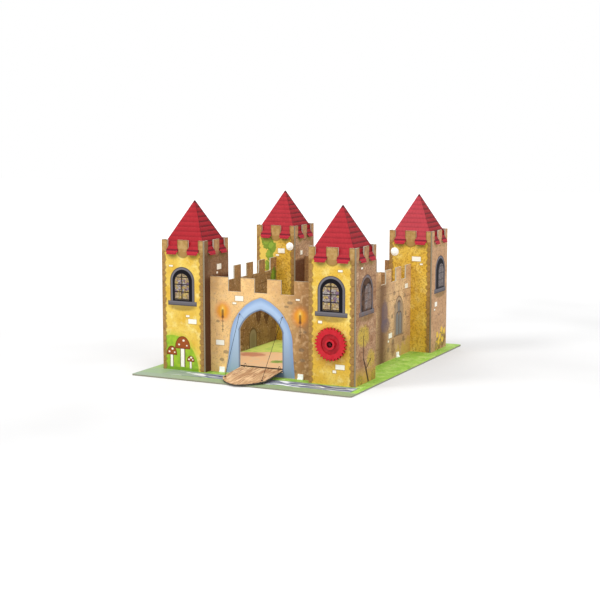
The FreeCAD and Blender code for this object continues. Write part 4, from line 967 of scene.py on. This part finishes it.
class CASTLE_OT_drawbridge(bpy.types.Operator):
    """Prints planks on the drawbridge and colours the rod and the strips that hold it"""
    bl_idname = "castle.drawbridge"
    bl_label = "Drawbridge"

    def execute(self, context):
        tone = colours()
        ink = board_ink("drawbridge")
        drop = math.radians(6)
        along = ink.y * math.cos(drop) + ink.z * math.sin(drop)
        top = Side(ink, ink.x - GATE_MIDDLE, along, ink.facing_z.above(0.6, 0.2))
        under = Side(ink, ink.x - GATE_MIDDLE, along, ink.facing_z.below(-0.6, 0.2))
        sway = (ink.noise(30, 2, (1, 0.5, 1)) - 0.5) * 9
        plank = ((ink.x - GATE_MIDDLE + GATE_HALF + sway * 0.15) / 11.2) % 1
        grain = ink.noise(2.4, 4, (1, 0.09, 1))
        streak = ink.noise(7, 3, (1, 0.14, 1))
        for side in (top, under):
            side.lay(tone.wood)
            side.lay(linear(222, 186, 144), streak.above(0.5, 0.2) * 0.7)
            side.lay(tone.wood_dark, grain.above(0.54, 0.12) * 0.75)
            side.lay(linear(158, 112, 76), streak.below(0.42, 0.14) * 0.6)
        side_line = abs(plank - 0.5).above(0.47, 0.03)
        top.lay(tone.wood_dark, side_line * 0.35)
        under.lay(tone.wood_dark, side_line * 0.9)
        for across in (-24, 0, 24):
            for far in (-158, -186):
                under.lay(linear(70, 66, 66), under.disc(across, far, 2.2))
        under.lay(linear(90, 84, 82),
                under.band(along, -189, -183, 0.6).most(under.band(along, -161, -155, 0.6)) * 0.8)
        # Painted shade: the bridge's cut edges are nearly black in patches.
        ink.lay(linear(40, 36, 36),
                abs(ink.facing_z).below(0.5, 0.2) * ink.noise(3, 2).above(0.24, 0.3) * 0.9)
        ink.raise_by(grain * 0.2)
        dress(["drawbridge"], ink.finish(0.4, 0.5))

        rod = Ink("hinge_rod", linear(24, 24, 28), 0.4)
        rod.lay(linear(58, 58, 64), rod.noise(1.5, 2).above(0.6, 0.2) * 0.5)
        dress(["hinge_rod"], rod.finish())
        strip = board_ink("rod_keepers")
        dress(["rod_keeper_left", "rod_keeper_right"], strip.finish(0.4, 0.4))
        return {"FINISHED"}


# Strings

def string_ink():
    tone = colours()
    ink = Ink("black_string", tone.string, 0.75)
    fibre = ink.noise(0.35, 3)
    ink.lay(linear(62, 60, 64), fibre.above(0.55, 0.2) * 0.6)
    ink.raise_by(fibre * 0.1)
    return ink.finish(0.6, 0.1)


def string_tree():
    """A tree that twists two strands along whatever curve it is given."""
    tree = bpy.data.node_groups.new("Twisted string", "GeometryNodeTree")
    face = tree.interface
    face.new_socket("Path", in_out="INPUT", socket_type="NodeSocketGeometry")
    for name, kind, value in (("Thickness", "NodeSocketFloat", 0.0008),
            ("Lay", "NodeSocketFloat", 0.0026),
                              ("Step", "NodeSocketFloat", 0.0004)):
        face.new_socket(name, in_out="INPUT", socket_type=kind).default_value = value
    face.new_socket("Finish", in_out="INPUT", socket_type="NodeSocketMaterial")
    face.new_socket("String", in_out="OUTPUT", socket_type="NodeSocketGeometry")

    def add(kind, settings=None, values=None):
        node = tree.nodes.new(kind)
        for key, value in (settings or {}).items():
            setattr(node, key, value)
        for key, value in (values or {}).items():
            if isinstance(value, bpy.types.NodeSocket):
                tree.links.new(value, node.inputs[key])
            else:
                node.inputs[key].default_value = value
        return node.outputs

    given = add("NodeGroupInput")
    path = add("GeometryNodeResampleCurve", {"mode": "LENGTH"},
               {"Curve": given["Path"], "Length": given["Step"]})
    along = add("GeometryNodeSplineParameter")
    turns = add("ShaderNodeMath", {"operation": "DIVIDE"}, {0: along["Length"], 1: given["Lay"]})
    angle = add("ShaderNodeMath", {"operation": "MULTIPLY"}, {0: turns[0], 1: 2 * math.pi})
    tilted = add("GeometryNodeSetCurveTilt", None, {"Curve": path["Curve"], "Tilt": angle[0]})
    half = add("ShaderNodeMath", {"operation": "MULTIPLY"}, {0: given["Thickness"], 1: 0.5})
    ring = add("GeometryNodeCurvePrimitiveCircle", {"mode": "RADIUS"},
            {"Resolution": 12, "Radius": half[0]})
    spot = add("GeometryNodeInputPosition")
    narrow = add("ShaderNodeVectorMath", {"operation": "MULTIPLY"},
            {0: spot[0], 1: (1.0, 0.62, 1.0)})
    section = add("GeometryNodeSetPosition", None,
            {"Geometry": ring["Curve"], "Position": narrow[0]})
    swept = add("GeometryNodeCurveToMesh", None,
                {"Curve": tilted["Curve"], "Profile Curve": section["Geometry"], "Fill Caps": True})
    real = add("GeometryNodeRealizeInstances", None, {"Geometry": swept["Mesh"]})
    coloured = add("GeometryNodeSetMaterial", None,
            {"Geometry": real["Geometry"], "Material": given["Finish"]})
    out = tree.nodes.new("NodeGroupOutput")
    tree.links.new(coloured["Geometry"], out.inputs["String"])
    return tree


def new_path(name, points, kind="NURBS", cyclic=False):
    curve = bpy.data.curves.new(name, "CURVE")
    curve.dimensions = "3D"
    curve.resolution_u = 16
    spline = curve.splines.new(kind)
    spline.points.add(len(points) - 1)
    for point, place in zip(spline.points, points):
        point.co = (*[value * MM for value in place], 1)
    if kind == "NURBS":
        spline.order_u = min(3, len(points))
        spline.use_endpoint_u = not cyclic
    spline.use_cyclic_u = cyclic
    thing = bpy.data.objects.new(name, curve)
    bpy.context.scene.collection.objects.link(thing)
    return thing


def twist(name, points, tree, finish, body, node, kind="NURBS", cyclic=False):
    """A twisted string along points that takes the place of a solid of the frame."""
    path = new_path(name + "_path", points, kind, cyclic)
    modifier = path.modifiers.new("Twist", "NODES")
    modifier.node_group = tree
    keys = {item.name: item.identifier for item in tree.interface.items_tree
            if item.in_out == "INPUT"}
    modifier[keys["Thickness"]] = sizes().string_thickness
    modifier[keys["Lay"]] = sizes().string_lay
    modifier[keys["Step"]] = sizes().string_thickness / 2
    modifier[keys["Finish"]] = finish
    graph = bpy.context.evaluated_depsgraph_get()
    mesh = bpy.data.meshes.new_from_object(path.evaluated_get(graph), depsgraph=graph)
    mesh.name = name
    piece = bpy.data.objects.new(name, mesh)
    bpy.context.scene.collection.objects.link(piece)
    bpy.data.objects.remove(path)
    for face in mesh.polygons:
        face.use_smooth = True
    if not mesh.materials:
        mesh.materials.append(finish)
    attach(piece, body)
    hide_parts(*node)
    return piece


ROD_Y, ROD_Z = -142.4, 13.0
MOUTH_Y, MOUTH_Z = -146.1, 86.0
DROP = math.radians(6)
KNOT_OUT, KNOT_HALF = 54.0, 28.5
CRANK_X, CRANK_Z = 115.7, 58.0


class CASTLE_OT_strings(bpy.types.Operator):
    """Twists the strings, the loops on the hinge rod, the knots and the winding"""
    bl_idname = "castle.strings"
    bl_label = "Strings"

    def execute(self, context):
        tree = string_tree()
        finish = string_ink()
        for side, sign, lane in (("left", -1, -142.3), ("right", 1, -140.1)):
            hole = (GATE_MIDDLE + sign * GATE_HALF, MOUTH_Y, MOUTH_Z)
            knot = (GATE_MIDDLE + sign * KNOT_HALF, -195.9, 8.4)
            outer = twist(f"outer_string_{side}", (hole, knot), tree, finish, "castle",
                          [f"bridge_string_{side}"], "POLY")
            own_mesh(outer)
            lead = Vector((RIGHT_X + 3.6, lane, 116.2))
            start = Vector((hole[0], lane, MOUTH_Z))
            spool = Vector((CRANK_X - 7.5, lane, CRANK_Z))
            across = (lead - start).normalized() * 5
            down = (spool - lead).normalized() * 5
            route = [Vector((hole[0], GATE_FRONT + 0.1, MOUTH_Z)), start, start + across,
                     lead - across, lead, lead + down, spool]
            twist(f"inner_string_{side}", route, tree, finish, "castle", [f"winding_string_{side}"])
            middle = GATE_MIDDLE + sign * 26.9
            ring = [(middle, ROD_Y + 3.3 * math.cos(turn), ROD_Z + 3.3 * math.sin(turn))
                    for turn in (step * math.pi / 12 for step in range(24))]
            twist(f"thread_loop_{side}", ring, tree, finish, "bridge", [f"hinge_loop_{side}"],
                    "POLY", True)
            self.tie_knots(side, sign, tree, finish)
        coil = []
        for step in range(24 * 6):
            turn = step * math.pi / 12
            coil.append((CRANK_X + 6.42 * math.cos(turn), -143.8 + 0.0364 * step,
                         CRANK_Z + 6.42 * math.sin(turn)))
        twist("spool_turns", coil, tree, finish, "crank", ["spool_winding"], "POLY")
        return {"FINISHED"}

    def tie_knots(self, side, sign, tree, finish):
        """A coil of string below the drawbridge, a straight run up its hole and a coil above it."""
        out = Vector((0, -math.cos(DROP), -math.sin(DROP)))
        normal = Vector((0, -math.sin(DROP), math.cos(DROP)))
        hub = Vector((GATE_MIDDLE + sign * KNOT_HALF, ROD_Y, ROD_Z)) + out * KNOT_OUT
        points = []
        for low, high, wide in ((-4.2, -3.5, 0.9), (-3.2, -0.7, 0), (-0.4, 0.3, 0.9)):
            for step in range(30):
                turn = step * math.pi / 6
                points.append(hub + Vector((wide * math.cos(turn), 0,
                        0)) + out * (wide * math.sin(turn))
                              + normal * (low + (high - low) * step / 29))
        twist(f"knot_{side}", points, tree, finish, "bridge", [f"bridge_knot_{side}"], "POLY")


# Crank

class CASTLE_OT_crank(bpy.types.Operator):
    """Colours the gear, its axle, the spool, the collars and the bearing plate"""
    bl_idname = "castle.crank"
    bl_label = "Crank"

    def execute(self, context):
        tone = colours()
        ink = Ink("crank_gear", tone.gear, 0.32, 0.25)
        outwards = (ink.x - CRANK_X).reach(ink.z - CRANK_Z)
        # Painted shade: the recess ring round the hub and the bore are darker.
        ink.lay(linear(150, 14, 28), outwards.below(14, 1.0) * outwards.above(7.0, 0.6) * 0.6)
        ink.lay(linear(36, 8, 14), outwards.below(4.4, 0.5) * 0.92)
        ink.lay(linear(222, 62, 72), ink.noise(6, 2).above(0.52, 0.3) * 0.25)
        # Painted shade on the teeth's flanks behind the gear's front face.
        ink.lay(linear(120, 14, 26), outwards.above(20.2, 0.6) * ink.y.above(-165.6, 1.0) * 0.6)
        ink.raise_by(ink.noise(1.5, 2) * 0.08)
        dress(["crank_gear"], ink.finish(0.3, 0.3))
        dark = Ink("crank_inside", tone.gear, 0.5)
        dark.lay(linear(150, 20, 32), dark.noise(4, 2).above(0.5, 0.3) * 0.5)
        dress(["string_spool", "front_collar", "rear_collar"], dark.finish())
        axle = Ink("crank_axle", linear(104, 22, 32), 0.3, 0.3)
        # Painted shade: the axle's front end, deep in the gear's bore, is darker.
        axle.lay(linear(48, 12, 20), axle.y.below(-162, 1.0) * 0.85)
        axle.lay(linear(128, 26, 36), axle.noise(3, 2).above(0.5, 0.3) * 0.4)
        dress(["crank_axle"], axle.finish())
        plate = board_ink("bearing_plate")
        dress(["bearing_plate"], plate.finish(0.4, 0.4))
        return {"FINISHED"}


# Rivets and clips

CLIPS = ("gate_clip_left", "gate_clip_right", "back_clip_left", "back_clip_right",
         "left_clip_front", "left_clip_rear", "right_clip_front", "right_clip_rear")


class CASTLE_OT_fasteners(bpy.types.Operator):
    """Colours the white rivets, their washers and the clips at the walls' feet"""
    bl_idname = "castle.fasteners"
    bl_label = "Rivets and clips"

    def execute(self, context):
        tone = colours()
        ink = Ink("white_plastic", tone.white, 0.3, 0.2)
        ink.lay(linear(222, 220, 212), ink.noise(5, 2).above(0.5, 0.3) * 0.5)
        ink.raise_by(ink.noise(1.2, 2) * 0.05)
        # Painted light: a faint white glow keeps the plastic white.
        ink.shader.inputs["Emission Color"].default_value = (1, 1, 1, 1)
        ink.shader.inputs["Emission Strength"].default_value = 0.14
        finish = ink.finish(0.2, 0.3)
        dress(CLIPS + ("corner_rivet_left", "corner_rivet_right",
                       "rivet_washer_left", "rivet_washer_right"), finish)
        return {"FINISHED"}


# Stage

CAMERA_PLACE = (0.8220, -1.6909, 0.3539)
CAMERA_TURN = (math.radians(82.0), 0, math.radians(26.22))
CAMERA_LENS = 76.89


def aim(thing, target):
    direction = Vector(target) - thing.location
    thing.rotation_euler = direction.to_track_quat("-Z", "Y").to_euler()


def add_lamp(name, place, target, size, power):
    lamp = bpy.data.lights.new(name, "AREA")
    lamp.shape = "DISK"
    lamp.size = size
    lamp.energy = power
    thing = bpy.data.objects.new(name, lamp)
    thing.location = place
    bpy.context.scene.collection.objects.link(thing)
    aim(thing, target)


class CASTLE_OT_stage(bpy.types.Operator):
    """Adds the floor, the soft lamps, the sky and the camera"""
    bl_idname = "castle.stage"
    bl_label = "Stage"

    def execute(self, context):
        scene = context.scene
        tone = colours()
        half = sizes().floor_size / 2
        mesh = bpy.data.meshes.new("floor")
        mesh.from_pydata([(-half, -half, 0), (half, -half, 0), (half, half, 0), (-half, half, 0)],
                         [], [(0, 1, 2, 3)])
        floor = bpy.data.objects.new("floor", mesh)
        scene.collection.objects.link(floor)
        ink = Ink("floor", tone.floor, 0.9)
        ink.lay(linear(253, 253, 253), ink.noise(400, 2) * 0.5)
        seen = ink.add("ShaderNodeLightPath", out="Is Camera Ray")
        lift = sizes().floor_lift
        far = ink.x.reach(ink.y).above(1300, 1400)
        glow = ink.mix((0, 0, 0), (1, 1, 1), seen * (lift + far * lift * 3.4))
        ink.tree.links.new(glow.socket, ink.shader.inputs["Emission Color"])
        ink.shader.inputs["Emission Strength"].default_value = 1
        mesh.materials.append(ink.finish())
        add_lamp("key_lamp", (-1.5, -1.5, 2.1), (0, 0, 0.05), 1.1, sizes().key_power)
        add_lamp("top_lamp", (0.1, 0.1, 2.2), (0, 0.05, 0), 1.4, sizes().top_power)
        add_lamp("fill_lamp", (1.9, -1.5, 1.0), (0, 0, 0.1), 1.6, sizes().fill_power)

        world = bpy.data.worlds.new("sky")
        world.use_nodes = True
        scene.world = world
        tree = world.node_tree
        ground = tree.nodes["Background"]
        ground.inputs["Color"].default_value = (1, 1, 1, 1)
        ground.inputs["Strength"].default_value = sizes().sky_strength
        white = tree.nodes.new("ShaderNodeBackground")
        ray = tree.nodes.new("ShaderNodeLightPath")
        mixed = tree.nodes.new("ShaderNodeMixShader")
        tree.links.new(ray.outputs["Is Camera Ray"], mixed.inputs[0])
        tree.links.new(ground.outputs[0], mixed.inputs[1])
        white.inputs["Color"].default_value = (1, 1, 1, 1)
        tree.links.new(white.outputs[0], mixed.inputs[2])
        tree.links.new(mixed.outputs[0], tree.nodes["World Output"].inputs["Surface"])

        camera = bpy.data.cameras.new("camera")
        camera.lens = CAMERA_LENS
        camera.sensor_width = 36
        camera.clip_end = 50
        eye = bpy.data.objects.new("camera", camera)
        eye.location = CAMERA_PLACE
        eye.rotation_euler = CAMERA_TURN
        scene.collection.objects.link(eye)
        scene.camera = eye
        scene.view_settings.view_transform = "Standard"
        return {"FINISHED"}


STEPS = ("base", "towers", "roofs", "walls", "drawbridge", "strings", "crank", "fasteners", "stage")


class CASTLE_PT_panel(bpy.types.Panel):
    """Lists the castle's pieces, colours and sizes"""
    bl_label = "Card castle"
    bl_idname = "CASTLE_PT_panel"
    bl_space_type = "VIEW_3D"
    bl_region_type = "UI"
    bl_category = "Castle"

    def draw(self, context):
        for step in STEPS:
            self.layout.operator(f"castle.{step}")
        for group in (context.scene.castle_colours, context.scene.castle_sizes):
            for name in group.__annotations__:
                self.layout.prop(group, name)


CLASSES = (CastleColours, CastleSizes, CASTLE_OT_base, CASTLE_OT_towers, CASTLE_OT_roofs,
           CASTLE_OT_walls, CASTLE_OT_drawbridge, CASTLE_OT_strings, CASTLE_OT_crank,
           CASTLE_OT_fasteners, CASTLE_OT_stage, CASTLE_PT_panel)


def register():
    for item in CLASSES:
        bpy.utils.register_class(item)
    bpy.types.Scene.castle_colours = bpy.props.PointerProperty(type=CastleColours)
    bpy.types.Scene.castle_sizes = bpy.props.PointerProperty(type=CastleSizes)


def unregister():
    del bpy.types.Scene.castle_sizes
    del bpy.types.Scene.castle_colours
    for item in reversed(CLASSES):
        bpy.utils.unregister_class(item)


def main():
    register()
    for step in STEPS:
        getattr(bpy.ops.castle, step)()


if __name__ == "__main__":
    main()
